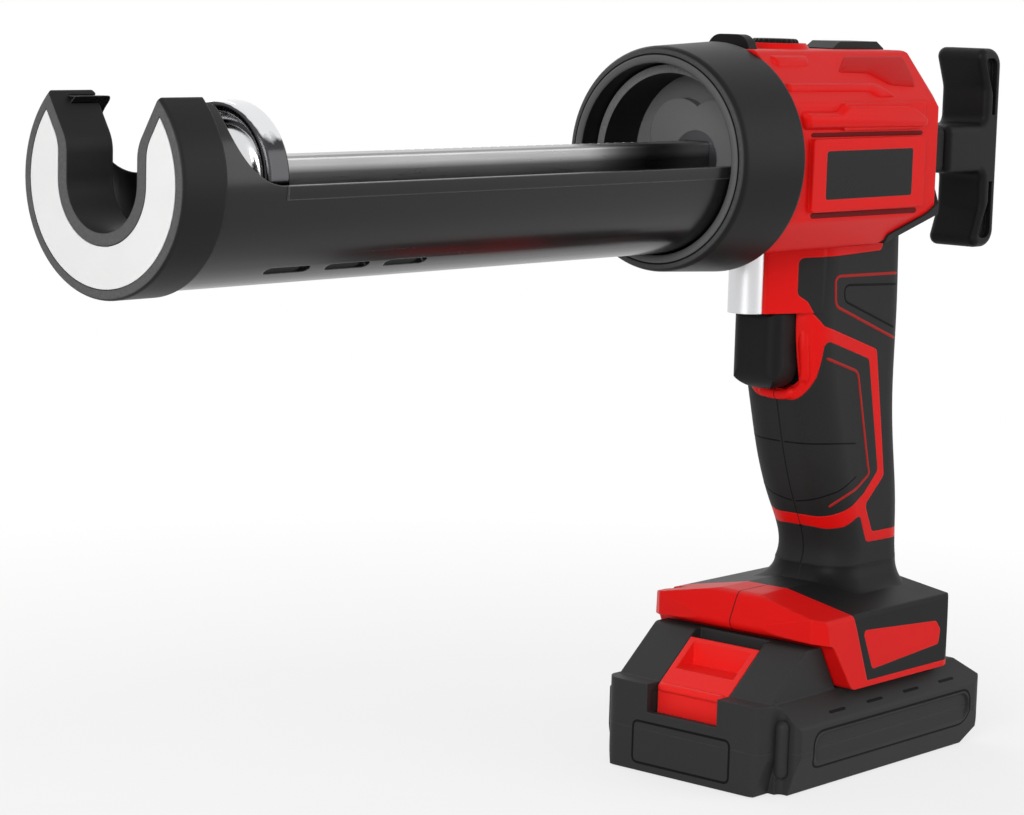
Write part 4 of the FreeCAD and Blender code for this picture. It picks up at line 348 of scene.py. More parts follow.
def moulded(name, colour, worn, rough=0.45, grain=0.00035, depth=0.00003, edge=0.0005,
            specular=0.1, extra=None):
    """Grain bump over a rounded edge; colour drifts a little, and edges take the worn colour."""
    f = Finish(name)
    normal = f.rounded(edge)
    wear = f.edges(normal) * f.noise(size=0.006, detail=3)
    drift = f.noise(size=0.03, detail=3)
    height = f.noise(grain, detail=2, rough=0.6)
    tint = f.blend(drift, times(colour, 0.93), times(colour, 1.06))
    tint = f.blend(wear * 0.75, tint, worn)
    gloss = rough + (drift - 0.5) * 0.12 - wear * 0.15 + (height - 0.5) * 0.1
    if extra is not None:
        tint, gloss, height = extra(f, tint, gloss, height)
    relief = f.bump(height, depth, normal)
    return f.shade(Base_Color=tint, Roughness=gloss, Normal=relief, Specular=specular)


SEAM_HALF = 0.00012
SEAM_RED = (0.06, 0.004, 0.004)


def parting_line(f, tint, gloss, height):
    """The seam between two halves: a dark groove a quarter of a millimetre wide where y is 0."""
    across = abs(f.axes(f.place)[1])
    seam = f.between(across, low=-1.0, high=SEAM_HALF, soft=SEAM_HALF)
    return f.blend(seam * 0.8, tint, SEAM_RED), gloss + seam * 0.2, height - seam * 4


def painted_lit_front(grey):
    """Painted light: faces looking forward along the barrel are painted paler, to about the given
    grey.
    """
    def extra(f, tint, gloss, height):
        """Painted light: speckled grey where the surface's own normal points to the nose."""
        forward = ((0 - f.axes(f.facing)[0] - 0.75) * 6).clip()
        speckle = f.noise(size=0.0007, detail=2)
        # painted light: the paler grey for faces that look forward
        pale = f.blend(speckle, times((grey,) * 3, 0.7), times((grey,) * 3, 1.3))
        return f.blend(forward, tint, pale), gloss + forward * 0.08, height
    return extra


# %% Moulded colours
RED, PALE_RED = (0.72, 0.0065, 0.0055), (0.84, 0.05, 0.035)
BLACK, PALE_BLACK = (0.0082, 0.0082, 0.0084), (0.032, 0.032, 0.033)
NYLON, PALE_NYLON = (0.0125, 0.0125, 0.0128), (0.06, 0.06, 0.06)
NYLON_GRAIN = {"grain": 0.0003, "depth": 0.00004}
MOULDED = {
    "red_shell": dict(colour=RED, worn=PALE_RED, rough=0.42, edge=0.0007, extra=parting_line),
    # painted shade: a darker copy of the red for the rear roof panel
    "shaded_roof_red": dict(colour=(0.52, 0.0045, 0.004), worn=(0.7, 0.03, 0.022), rough=0.5,
                     grain=0.0005, depth=0.00005, edge=0.0007),
    "red_button": dict(colour=(0.86, 0.02, 0.017), worn=(0.9, 0.07, 0.05), rough=0.36,
                       depth=0.00001, edge=0.0006),
    "inlaid_red": dict(colour=(0.36, 0.016, 0.013), worn=(0.5, 0.04, 0.03), rough=0.5,
                       edge=0.0002),
    "shadow_red": dict(colour=(0.13, 0.0022, 0.002), worn=(0.2, 0.004, 0.004), rough=0.6,
                       edge=0.0002),
    "black_moulding": dict(colour=BLACK, worn=PALE_BLACK, rough=0.46),
    "battery_case": dict(colour=(0.030, 0.030, 0.0305), worn=(0.075, 0.075, 0.076), rough=0.5,
                         edge=0.0007),
    "smooth_black": dict(colour=(0.0085, 0.0085, 0.0088), worn=PALE_BLACK, rough=0.3,
                         depth=0.000006),
    "dark_gap": dict(colour=(0.0035, 0.0035, 0.0036), worn=(0.006, 0.006, 0.006), rough=0.7,
                     edge=0.0002),
    # the nose, collar and hoop get painted light on their front faces
    "nose_nylon": dict(colour=NYLON, worn=PALE_NYLON, rough=0.42, **NYLON_GRAIN, edge=0.0008,
                       extra=painted_lit_front(0.085)),
    "collar_nylon": dict(colour=(0.0095, 0.0095, 0.0098), worn=PALE_NYLON, rough=0.4, **NYLON_GRAIN,
                         edge=0.0009, extra=painted_lit_front(0.06)),
    "hoop_lacquer": dict(colour=NYLON, worn=PALE_NYLON, rough=0.42, **NYLON_GRAIN, edge=0.0005,
                         extra=painted_lit_front(0.17)),
    "sleeve_nylon": dict(colour=(0.1, 0.1, 0.1), worn=(0.16, 0.16, 0.16), rough=0.45,
                         grain=0.0003, depth=0.00005, edge=0.0004),
    "milky_plastic": dict(colour=(0.70, 0.70, 0.697), worn=(0.74, 0.74, 0.74), rough=0.4,
                          depth=0.000008, edge=0.0003),
    "dark_casting": dict(colour=(0.15, 0.15, 0.152), worn=(0.2, 0.2, 0.2), rough=0.5,
                         grain=0.0005, depth=0.0001, edge=0.0006, specular=0.3),
}
finishes = {name: moulded(name, **looks) for name, looks in MOULDED.items()}
print("moulded finishes:", len(finishes))

# %% [markdown]
# ## Soft grip skin
# The dark skins on the handle are a rubbery plastic moulded over the hard shell. It is duller than
# the other blacks, holds a little dust, and has a very fine pebble that breaks up reflections.


# %% Soft skin
def soft_skin(name):
    """Scattered pebbles as a bump; dust lightens patches, and a seam at y = 0 is dark."""
    f = Finish(name)
    normal = f.rounded(0.0005)
    pebble = f.pebbles(0.00045)
    dust = f.noise(size=0.012, detail=4)
    tint = f.blend(dust, (0.0135, 0.0135, 0.0135), (0.02, 0.02, 0.0198))
    tint = f.blend(f.edges(normal) * 0.5, tint, (0.035, 0.035, 0.0345))
    seam = f.between(abs(f.axes(f.place)[1]), low=-1.0, high=0.0002, soft=0.00014)
    tint = f.blend(seam, tint, (0.004, 0.004, 0.004))
    gloss = 0.62 + (dust - 0.5) * 0.16
    relief = f.bump(pebble - seam * 4, 0.00003, normal)
    return f.shade(Base_Color=tint, Roughness=gloss, Normal=relief, Specular=0.14)


finishes["soft_skin"] = soft_skin("soft_skin")
print("soft skin ready")

# %% [markdown]
# ## Metals
# Four kinds show: the black lacquered sheet of the tray, the dark drawn rod, the bright pusher cup
# and the satin post above the trigger. The inner gears, screws and bearings are plain machined
# steel, bronze and brass. Drawn and turned marks are noise stretched out along the direction of the
# tool that made them. The rod's lower half is painted darker as painted shade, and the upright
# faces of the cup carry a painted dark reflection.

# %% Drawn, turned and plated metal
# painted shade: the height below which the rod is painted darker
SHADED_BELOW = AXIS_HEIGHT / 1000 + 0.0005


def metal(name, colour, rough, marks, depth=0.000004, size=0.0004, dark=0.75, edge=0.0003,
          painted_shade=0.0):
    """Noise drawn out on one axis gives tool marks; stains drift, and painted shade darkens what is
    low.
    """
    f = Finish(name)
    normal = f.rounded(edge)
    lines = f.noise(size, detail=3, stretch=marks)
    stain = f.noise(size=0.02, detail=4)
    tint = f.blend(stain, times(colour, dark), colour)
    if painted_shade:
        # painted shade: the rod is darkened below a line just above the barrel axis
        low = f.between(f.axes(f.place)[2], low=-1.0, high=SHADED_BELOW, soft=0.002)
        tint = f.blend(low * painted_shade, tint, times(colour, 0.12))
    rubbed = tuple(min(1, 1.3 * channel + 0.03) for channel in colour)
    tint = f.blend(f.edges(normal) * 0.4, tint, rubbed)
    gloss = rough + (lines - 0.5) * 0.14 + (stain - 0.5) * 0.08
    relief = f.bump(lines, depth, normal)
    return f.shade(Base_Color=tint, Roughness=gloss, Metallic=1.0, Normal=relief)


ALONG, UPRIGHT, EVEN = (0.03, 1, 1), (1, 1, 0.03), (1, 1, 1)
FINE_TURNED = {"marks": EVEN, "depth": 0.00001, "size": 0.0003}
METALS = {
    "drawn_rod": dict(colour=(0.34, 0.34, 0.345), rough=0.3, marks=ALONG, dark=0.8, painted_shade=0.85),
    "dark_bush": dict(colour=(0.1, 0.1, 0.105), rough=0.4, **FINE_TURNED),
    "satin_post": dict(colour=(0.70, 0.705, 0.715), rough=0.33, marks=UPRIGHT, dark=0.9),
    "black_oxide": dict(colour=(0.075, 0.075, 0.08), rough=0.42, **FINE_TURNED),
    "bright_boss": dict(colour=(0.80, 0.805, 0.815), rough=0.16, marks=EVEN),
    "machined_steel": dict(colour=(0.50, 0.505, 0.52), rough=0.34, marks=EVEN),
    "grey_casting": dict(colour=(0.30, 0.30, 0.31), rough=0.5, marks=EVEN, depth=0.00003,
                         size=0.0006),
    "bearing_bronze": dict(colour=(0.52, 0.36, 0.18), rough=0.42, **FINE_TURNED),
    "stamped_brass": dict(colour=(0.72, 0.54, 0.23), rough=0.3, marks=ALONG),
    "spring_wire": dict(colour=(0.5, 0.51, 0.53), rough=0.28, marks=EVEN, depth=0.000002,
                        size=0.0002),
}
finishes.update({name: metal(name, **looks) for name, looks in METALS.items()})
print("metals:", len(METALS))


# %% Plated cup
def plated_cup(name):
    """Bright plating with a painted reflection: upright faces dark, faces that look up or down
    bright.
    """
    f = Finish(name)
    normal = f.rounded(0.0005)
    upward = f.axes(f.facing)[2]
    # painted reflection: film is noise that breaks up the edge of the painted dark reflection
    film = f.noise(size=0.004, detail=3)
    dark_reflection = f.between(upward + (film - 0.5) * 0.35, low=-0.45, high=0.5, soft=0.12)
    tint = f.blend(dark_reflection, (0.78, 0.785, 0.80), (0.045, 0.045, 0.048))
    tint = f.blend(f.edges(normal) * 0.8, tint, (0.9, 0.9, 0.91))
    scratches = f.noise(size=0.0006, detail=3)
    gloss = 0.14 + (scratches - 0.5) * 0.1
    relief = f.bump(scratches, 0.000003, normal)
    return f.shade(Base_Color=tint, Roughness=gloss, Metallic=1.0, Normal=relief)


finishes["plated_cup"] = plated_cup("plated_cup")
print("plating ready")


# %% Lacquered tray
def lacquered_sheet(name):
    """A thin black lacquer on rolled sheet: smooth, with faint lines along the barrel, and dust."""
    f = Finish(name)
    normal = f.rounded(0.0004)
    lines = f.noise(size=0.0012, detail=2, stretch=ALONG)
    dust = f.noise(size=0.0006, detail=2)
    tint = f.blend(f.edges(normal) * 0.6, (0.0055, 0.0055, 0.0058), (0.2, 0.2, 0.2))
    gloss = 0.24 + (lines - 0.5) * 0.1 + (dust - 0.5) * 0.06
    relief = f.bump(lines, 0.000006, normal)
    return f.shade(Base_Color=tint, Roughness=gloss, Normal=relief, Specular=0.22,
                   Coat_Weight=0.12, Coat_Roughness=0.1)


finishes["lacquered_sheet"] = lacquered_sheet("lacquered_sheet")
print("lacquer ready")

# %% [markdown]
# ## Inside
# The circuit boards and the battery cells hardly ever show, only when the battery is drawn off the
# tool. They get simple finishes of their own: green lacquer over a faint track pattern, and shrink
# wrap with soft creases.


# %% Boards and cells
def circuit_lacquer(name):
    """Squares of a chequer stand for the tracks under the lacquer: slightly lighter and raised."""
    f = Finish(name)
    squares = f.node("ShaderNodeTexChecker", values={"Vector": f.place, "Scale": 400.0}, out="Fac")
    tracks = squares * f.noise(size=0.004, detail=1)
    tint = f.blend(tracks, (0.008, 0.075, 0.028), (0.02, 0.14, 0.055))
    relief = f.bump(tracks, 0.00004)
    return f.shade(Base_Color=tint, Roughness=0.3 + tracks * 0.15, Normal=relief)


def cell_wrap(name):
    """Thin film over a steel can, creased along its length."""
    f = Finish(name)
    crease = f.noise(size=0.002, detail=3, stretch=(1, 0.1, 1))
    tint = f.blend(crease, (0.03, 0.12, 0.2), (0.05, 0.17, 0.27))
    relief = f.bump(crease, 0.00005)
    return f.shade(Base_Color=tint, Roughness=0.3 + crease * 0.15, Normal=relief)


finishes["circuit_lacquer"] = circuit_lacquer("circuit_lacquer")
finishes["cell_wrap"] = cell_wrap("cell_wrap")
print("all finishes:", len(finishes))

# %% [markdown]
# ## Dressing the nodes
# Each node of the model names a material slot of the record. A short table says which finish stands
# for which slot, and a second one names the few nodes that look different from the rest of theirs.

# %% Finish for every node
FINISH_OF_SLOT = {
    "red_plastic": "red_shell", "black_plastic": "black_moulding", "gloss_black": "smooth_black",
    "soft_black": "soft_skin", "black_nylon": "collar_nylon", "black_tray": "lacquered_sheet",
    "white_plastic": "milky_plastic", "grey_casting": "grey_casting", "bronze": "bearing_bronze",
    "bright_steel": "satin_post", "steel": "machined_steel", "dark_steel": "drawn_rod",
    "chrome": "plated_cup", "spring_steel": "spring_wire", "circuit_board": "circuit_lacquer",
    "contact_brass": "stamped_brass", "cell_can": "cell_wrap", "battery_grey": "battery_case",
}
FINISH_OF_NODE = {
    "battery_latch": "red_button", "gear_plate": "dark_casting", "rod_front_bush": "dark_bush",
    "nose_collar": "nose_nylon", "tray_hoop": "hoop_lacquer", "housing_screws": "black_oxide",
    "battery_screws": "black_oxide",
}
for name, node in nodes.items():
    slot = node.data.materials[0].name.split(".")[0]
    finish = finishes[FINISH_OF_NODE.get(name, FINISH_OF_SLOT[slot])]
    for place in node.material_slots:
        place.material = finish
print("dressed nodes:", len(nodes))

# %% [markdown]
# ## Closed surfaces from grids
# Every added piece is a grid of points: the rows follow a path and each row is a loop round it. One
# function joins neighbouring points into quads, closes the two ends, and hangs the piece on the
# body that it moves with.

# %% From grid to piece
SHARP_FROM = math.radians(50)
SAME_PLACE = 1e-7


def closed_piece(name, grids, finish, body):
    """Quads join each loop to the next; a path that ends where it began closes, others get caps."""
    points, faces, first = [], [], 0
    for grid in grids:
        ring = np.allclose(grid[0], grid[-1], atol=SAME_PLACE)
        grid = grid[:-1] if ring else grid
        index = first + np.arange(grid[..., 0].size).reshape(grid.shape[:2])
        loops = np.vstack((index, index[:1])) if ring else index
        near, far = loops[:-1], loops[1:]
        quads = np.stack((near, np.roll(near, -1, 1), np.roll(far, -1, 1), far), -1)
        caps = [] if ring else [index[0].tolist(), index[-1].tolist()]
        faces += quads.reshape(-1, 4).tolist() + caps
        points.append(grid.reshape(-1, 3))
        first += index.size
    mesh = bpy.data.meshes.new(name)
    mesh.from_pydata(np.vstack(points).tolist(), [], faces)
    turned = bmesh.new()
    turned.from_mesh(mesh)
    bmesh.ops.recalc_face_normals(turned, faces=turned.faces[:])
    turned.to_mesh(mesh)
    turned.free()
    mesh.shade_smooth()
    mesh.set_sharp_from_angle(angle=SHARP_FROM)
    mesh.materials.append(finishes[finish])
    piece = bpy.data.objects.new(name, mesh)
    bpy.context.scene.collection.objects.link(piece)
    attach(piece, body)
    print(name, "points:", len(mesh.vertices), "faces:", len(mesh.polygons))
    return piece


# %% [markdown]
# ## Paths and beads
# Lines on a moulded part are drawn as a few corner points on a side view. Each corner is then
# replaced by a short curve, and points are spread evenly along the line. A bead is an oval carried
# along such a path: its upper half stands up from the surface and its lower half sinks into it, so
# no gap shows from any side.

# %% Smooth paths
CORNER_POINTS = 9
LARGEST_CUT = 0.49


def unit(vectors):
    """Every vector divided by its own length."""
    return vectors / np.linalg.norm(vectors, axis=-1, keepdims=True)


def distance_along(line):
    """How far each point lies from the first one: the steps between neighbours, added up."""
    return np.concatenate(([0], np.cumsum(np.linalg.norm(np.diff(line, axis=0), axis=1))))


def rounded_line(corners, radius):
    """A corner P becomes (1-t)(1-t)A + 2t(1-t)P + ttB, with A and B near it on its two sides."""
    before, corner, after = corners[:-2], corners[1:-1], corners[2:]
    back, ahead = before - corner, after - corner
    reach = np.minimum(np.linalg.norm(back, axis=1), np.linalg.norm(ahead, axis=1))
    cut = np.minimum(radius, LARGEST_CUT * reach)[:, None]
    start, end = (corner + cut * unit(back))[:, None], (corner + cut * unit(ahead))[:, None]
    t = np.linspace(0, 1, CORNER_POINTS)[None, :, None]
    curve = (1 - t) ** 2 * start + 2 * t * (1 - t) * corner[:, None] + t ** 2 * end
    return np.vstack((corners[:1], curve.reshape(-1, corners.shape[1]), corners[-1:]))


def course(corners, step=0.8, radius=3.0):
    """A line with rounded corners, as points at equal steps along its length."""
    line = np.asarray(corners, float)
    line = rounded_line(line, radius) if len(line) > 2 else line
    length = distance_along(line)
    even = np.linspace(0, length[-1], max(4, int(length[-1] / step)))
    return np.stack([np.interp(even, length, axis) for axis in line.T], 1)


def closed_course(corners, radius):
    """A closed outline with rounded corners: it starts and ends in the middle of its first side."""
    line = np.asarray(corners, float)
    middle = (line[:1] + line[1:2]) / 2
    return course(np.vstack((middle, line[1:], line[:1], middle)), radius=radius)


print("a corner is drawn with", CORNER_POINTS, "points")

# %% Beads
SMALLEST_END = 0.02


def bead(path, out, width, height, sink=0.0004, sides=10, taper=True):
    """An oval on a path: half the width across, the height up; open ends shrink like a circle."""
    along = np.gradient(path, axis=0)
    if np.allclose(path[0], path[-1], atol=SAME_PLACE):
        along[0] = along[-1] = path[1] - path[-2]
        taper = False
    across = unit(np.cross(out, along))
    end = np.ones(len(path))
    if taper:
        length = distance_along(path)
        to_end = np.minimum(length, length[-1] - length)
        end = np.clip(to_end / (width / 2), SMALLEST_END, 1)
    size = np.sqrt(1 - (1 - end) ** 2)[:, None, None]
    turn = np.linspace(0, 2 * np.pi, sides, endpoint=False)
    lift = np.where(np.sin(turn) > 0, height, sink) * np.sin(turn)
    sideways = np.cos(turn)[None, :, None] * across[:, None] * width / 2
    return path[:, None] + (sideways + lift[None, :, None] * out[:, None]) * size


UPWARD = np.array(((0, 0, 1.0), (0, 0, 1.0)))
print("a bead of two points is a grid of", bead(spots((0, 1), 0, 0), UPWARD, 1, 1).shape)

# %% [markdown]
# ## Springs
# The trigger, the top button and the battery latch each sit on a small coil of spring wire. A coil
# is a helix: the angle grows evenly while the height follows it. The wire is a round bead on that
# path. Each coil moves with the part that presses on it.

# %% Coil springs
TURN_POINTS = 24


def coil(foot, tip, radius, wire, turns):
    """Helix from foot to tip: the radius turns round the axis while the height grows evenly."""
    foot, tip = np.asarray(foot, float), np.asarray(tip, float)
    axis = unit(tip - foot)
    side = unit(np.cross(axis, (0, 1, 0)))
    other = np.cross(axis, side)
    angle = np.linspace(0, 2 * np.pi * turns, turns * TURN_POINTS)
    out = np.cos(angle)[:, None] * side + np.sin(angle)[:, None] * other
    rise = np.linspace(wire, np.linalg.norm(tip - foot) - wire, len(angle))
    path = foot + rise[:, None] * axis + radius * out
    return bead(path, out, width=2 * wire, height=wire, sink=wire, sides=8, taper=False)


# Piece, CAD node, body, joint; foot, tip, radius, wire, turns; share of the length that stays.
SPRINGS = (
    ("trigger_coil", "trigger_spring", "trigger", "trigger_pull",
     ((0.085, 0, 0.1343), (0.092, 0, 0.1343), 0.0042, 0.0004, 4), 1 / 7),
    ("top_button_coil", "top_button_spring", "button", "top_button_press",
     ((0.1165, 0, 0.2241), (0.1165, 0, 0.2196), 0.003, 0.0004, 3), 0.556),
    ("latch_coil", "latch_spring", "latch", "battery_latch_press",
     ((0.0517, 0, 0.0184), (0.0517, 0, 0.0094), 0.0022, 0.00035, 5), 0.667),
)
for name, node, body, joint, helix, keep in SPRINGS:
    spring = closed_piece(name, [coil(*helix)], "spring_wire", body)
    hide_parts(node)
    foot, tip = helix[:2]
    axis = unit(np.asarray(tip) - np.asarray(foot))
    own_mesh(spring)

# %% [markdown]
# ## Landing on the model
# A line that is drawn on a side view still has to lie on the curved surface. Each point is sent
# along a ray until it meets the model. The ray runs straight in from the side, or from the camera's
# place for lines that pass round the front of the grip. The other side gets the mirror image.

# %% Rays onto the nodes
RAY_START, RAY_LENGTH = 0.08, 0.2
FORWARD, REARWARD = np.array((-1.0, 0.0, 0.0)), np.array((1.0, 0.0, 0.0))
INTO_RIGHT, DOWNWARD = np.array((0.0, -1.0, 0.0)), np.array((0.0, 0.0, -1.0))
EYE = tuple(camera.location)


def smoothed(values, count):
    """Every row becomes the mean of that many rows around it; the first and last rows repeat."""
    weights = np.ones(count) / count
    columns = [np.pad(column, count // 2, "edge") for column in values.T]
    return np.stack([np.convolve(column, weights, "valid") for column in columns], 1)


def land(points, rays, names):
    """Points go along rays to the nearest named node; gives the places and normals there."""
    bpy.context.view_layer.update()
    met = []
    for point, ray in zip(points, np.broadcast_to(rays, points.shape)):
        start = Vector(point - RAY_START * ray)
        hits = [nodes[name].ray_cast(start, Vector(ray), distance=RAY_LENGTH) for name in names]
        hits = sorted(((hit[1] - start).length, *hit[1], *hit[2]) for hit in hits if hit[0])
        met += hits[:1]
    met = np.array(met)
    return met[:, 1:4], unit(smoothed(met[:, 4:], count=5))


def side_line(corners, side, names, width, height, flat=16.5, eye=None, radius=3.0):
    """A bead on a line of (x, z) in mm, landed from the left (-1), the right (1) or an eye."""
    x, z = course(corners, radius=radius).T
    points = spots(x, side * flat, z)
    rays = np.array((0.0, -side, 0.0))
    if eye is not None:
        rays = unit(points - np.asarray(eye) * (1, -side, 1))
    path, out = land(points, rays, names)
    return bead(path, out, width / 1000, height / 1000)


print("rays start at", tuple(round(v, 2) for v in EYE))

# %% [markdown]
# ## Lines on the grip
# Two thin red inlays run across the soft skin, and a few creases show where the mould's slides met.
# They are beads that hardly stand up: the inlays in a duller red, the creases almost black. On the
# right side the lower inlay breaks off at a screw hole.

# %% Inlays and creases
UPPER_INLAY = ((327.5, -38.4), (291.7, -37.7), (290.1, -38.8), (290.7, -47.1), (326.0, -60.1))
LOWER_INLAY = ((286.9, -63.4), (304.6, -69.0), (312.6, -100.5), (313.6, -103.0), (306.1, -107.4),
               (291.4, -111.5))
LOWER_PARTS = (((286.9, -63.4), (304.6, -69.0), (309.1, -86.4)),
               ((310.9, -94.2), (312.6, -100.5), (313.6, -103.0), (306.1, -107.4),
                (298.5, -109.6)))
PALM_CREASE = ((253.6, -85.6), (266.9, -88.1), (280.1, -90.1), (305.5, -92.3))
LOW_CREASE = ((262.0, -104.4), (270.1, -107.2), (282.8, -108.2), (298.2, -106.9), (306.5, -103.0))
FRONT_SEAM = ((258.9, -76.5), (262.3, -79.8), (264.0, -86.9), (266.5, -100.0), (273.0, -112.0),
              (278.0, -116.3))
POCKET_LINE = ((326.0, -42.0), (296.9, -40.8), (295.3, -41.9), (295.6, -45.8), (324.0, -56.0))
for side, word in SIDES:
    skins = (word + "_grip", word + "_housing")
    inlaid = (UPPER_INLAY, LOWER_INLAY) if word == "left" else (UPPER_INLAY, *LOWER_PARTS)
    inlays = [side_line(line, side, skins, width=1.0, height=0.22, eye=EYE, radius=2.2)
              for line in inlaid]
    closed_piece(word + "_grip_inlays", inlays, "inlaid_red", "body")
    creases = [side_line(line, side, skins, width=0.55, height=0.06, eye=EYE, radius=9)
               for line in (PALM_CREASE, LOW_CREASE, FRONT_SEAM)]
    creases.append(side_line(POCKET_LINE, side, skins, width=0.8, height=0.08, eye=EYE))
    closed_piece(word + "_grip_creases", creases, "dark_gap", "body")

# %% [markdown]
# ## Ridges on the back of the grip
# The web of the hand rests on a row of low cross ridges. Each ridge is a bead whose path runs over
# the back of the grip from one side to the other, landed by rays that come from behind.

# %% Back ridges
BEHIND_GRIP = 335.0
RIDGE_SPAN = np.linspace(-8.5, 8.5, 24)
RIDGE_HEIGHTS = np.arange(-74.0, -108.0, -5.4)
ridges = []
for height in RIDGE_HEIGHTS:
    start = spots(BEHIND_GRIP, RIDGE_SPAN, height)
    path, out = land(start, FORWARD, ("left_grip", "right_grip"))
    ridges.append(bead(path, out, width=0.0024, height=0.0009))
closed_piece("grip_back_ridges", ridges, "soft_skin", "body")

# %% [markdown]
# ## Raised ribs on the drive housing
# The sides of the red housing carry a broad rib with slanted ends and, on the sloping roof edge, a
# narrow band and two pads. The rear one has a coarser grain and is painted a deeper red as painted
# shade. A raised form is its outline drawn five times: sunk into the wall, at the wall, then drawn
# in and lifted, so that its flanks slope the way a mould needs them to. Dark red strips under the
# rib and under the label frame are painted shadow lines.


# %% Raised plates
def drawn_in(corners, amount):
    """Every side of a polygon moves inwards; each corner goes to where its two moved sides meet."""
    along = unit(np.roll(corners, -1, 0) - corners)
    (x, y), (next_x, next_y) = corners.T, np.roll(corners, -1, 0).T
    area = np.sum(x * next_y - next_x * y)
    after = np.stack((-along[:, 1], along[:, 0]), 1) * np.sign(area)
    before = np.roll(after, 1, 0)
    return corners + amount * (before + after) / (1 + np.sum(before * after, 1))[:, None]


def soft_outline(corners, radius):
    """A closed polygon with rounded corners; one corner more at each end lets it round them all."""
    return rounded_line(np.vstack((corners[-1:], corners, corners[:1])), radius)[1:-1]


def raised(corners, place, side, height, slope, sink=1.0, radius=1.6):
    """Rows of one outline: sunk, at the wall, then lifted and drawn in, with a soft upper edge."""
    line = np.asarray(corners, float)
    levels = ((0, -sink), (0, 0), (0.5 * slope, 0.62 * height), (0.8 * slope, 0.9 * height),
              (1.2 * slope, height))
    return np.stack([place(soft_outline(drawn_in(line, inset), radius), lift, side)
                     for inset, lift in levels])


# %% Walls of the housing
WALL_OUT = 30.0
SLOPE_FOOT, SLOPE_RUN, SLOPE_RISE = 17.5, 15.0, 15.5
SLOPE_OUT, SLOPE_UP = 0.719, 0.695


def on_wall(outline, lift, side):
    """The flat side wall: the outline gives length and height, and the lift stands off the wall."""
    return spots(outline[:, 0], side * (WALL_OUT + lift), outline[:, 1])


def on_slope(outline, lift, side):
    """The facet above the wall, which leans in as it rises; the lift goes along its own normal."""
    x, z = outline.T
    inward = (z - SLOPE_FOOT) * SLOPE_RUN / SLOPE_RISE
    return spots(x, side * (WALL_OUT - inward + SLOPE_OUT * lift), z + SLOPE_UP * lift)


print("the roof edge leans in", round(math.degrees(math.atan2(SLOPE_RUN, SLOPE_RISE))), "degrees")

# %% Ribs, pads and painted shadow lines
RIB = ((248.8, 15.2), (267.2, 15.0), (270.8, 17.4), (306.5, 17.2), (315.6, 13.0), (315.4, 9.9),
       (313.6, 9.0), (250.5, 9.6))
BAND = ((247.5, 23.4), (294.0, 23.2), (301.6, 18.9), (292.0, 18.9), (289.0, 20.6), (247.5, 20.9))
DIAL_PAD = ((249.5, 31.4), (250.2, 28.0), (266.6, 28.2), (269.0, 31.4))
ROOF_PAD = ((279.5, 26.4), (289.1, 31.2), (321.0, 31.2), (316.0, 21.8), (302.6, 22.4),
            (295.4, 26.0))
# painted shadow: dark red strips under the rib and under the label frame
UPPER_SHADOW_LINE = ((254.5, 8.0), (315.0, 7.7))
LOWER_SHADOW_LINE = ((255.8, -16.4), (313.3, -16.7))
for side, word in SIDES:
    rib = raised(RIB, on_wall, side, height=2.4, slope=1.5)
    closed_piece(word + "_side_rib", [rib], "red_shell", "body")
    pads = [raised(outline, on_slope, side, height, slope=0.9)
            for outline, height in ((BAND, 1.0), (DIAL_PAD, 0.8))]
    closed_piece(word + "_roof_pads", pads, "red_shell", "body")
    # painted shade: the rear roof panel takes the darker red
    panel = raised(ROOF_PAD, on_slope, side, height=1.0, slope=0.9)
    closed_piece(word + "_roof_panel", [panel], "shaded_roof_red", "body")
    # painted shadow lines on the wall, in the shadow red
    shadow_lines = [side_line(line, side, (word + "_housing",), width, height=0.05, flat=WALL_OUT)
               for line, width in ((UPPER_SHADOW_LINE, 1.4), (LOWER_SHADOW_LINE, 1.7))]
    closed_piece(word + "_side_shadow_lines", shadow_lines, "shadow_red", "body")

# %% [markdown]
# ## Corners of the trigger guard
# The opening for the trigger follows the trigger's round lower corners. Two small red fillers close
# the square corners of the opening: an outline of the corner and of an arc a little wider than the
# trigger, carried forward.

# %% Guard corners
ARC_MIDDLE, ARC_HEIGHT, ARC_RADIUS = 1.0, -65.9, 8.35
OPENING_HALF, OPENING_LOW = 9.6, -74.5
FILLER_ROWS = (284.9, 286.5, 288.3)
turn = np.linspace(0, -np.pi / 2, 12)
arc = np.stack((ARC_MIDDLE + ARC_RADIUS * np.cos(turn), ARC_HEIGHT + ARC_RADIUS * np.sin(turn)), 1)
across, upright = np.vstack(((OPENING_HALF, ARC_HEIGHT), arc, (ARC_MIDDLE, OPENING_LOW),
                             (OPENING_HALF, OPENING_LOW))).T
fillers = [np.stack([spots(x, side * across, upright) for x in FILLER_ROWS]) for side, _ in SIDES]
closed_piece("guard_corners", fillers, "red_shell", "body")

# %% [markdown]
# ## Lip of the trigger guard
# A soft raised lip runs round the trigger in the shape of a U. Its path is drawn as seen from the
# front and landed on the handle by rays that run straight back. Both ends sink slowly into it.

# %% Guard lip
U_LINE = ((-11.4, -50.5), (-11.4, -76.2), (11.4, -76.2), (11.4, -50.5))
BEFORE_GUARD = 270.0
HANDLE = ("left_housing", "right_housing", "left_grip", "right_grip")
END_POINTS, END_DEPTH = 15, 0.0018
line = course(U_LINE, step=0.7, radius=10.0)
path, out = land(spots(BEFORE_GUARD, line[:, 0], line[:, 1]), REARWARD, HANDLE)
path, out = smoothed(path, count=9), unit(smoothed(out, count=15))
count = np.arange(len(path))
share = np.clip(np.minimum(count, count[::-1]) / END_POINTS, 0, 1)
rise = share ** 2 * (3 - 2 * share)
path = path - END_DEPTH * (1 - rise)[:, None] * out
lip = bead(path, out, width=0.0034, height=0.0012, sink=0.001, sides=14)
closed_piece("guard_lip", [lip], "red_shell", "body")

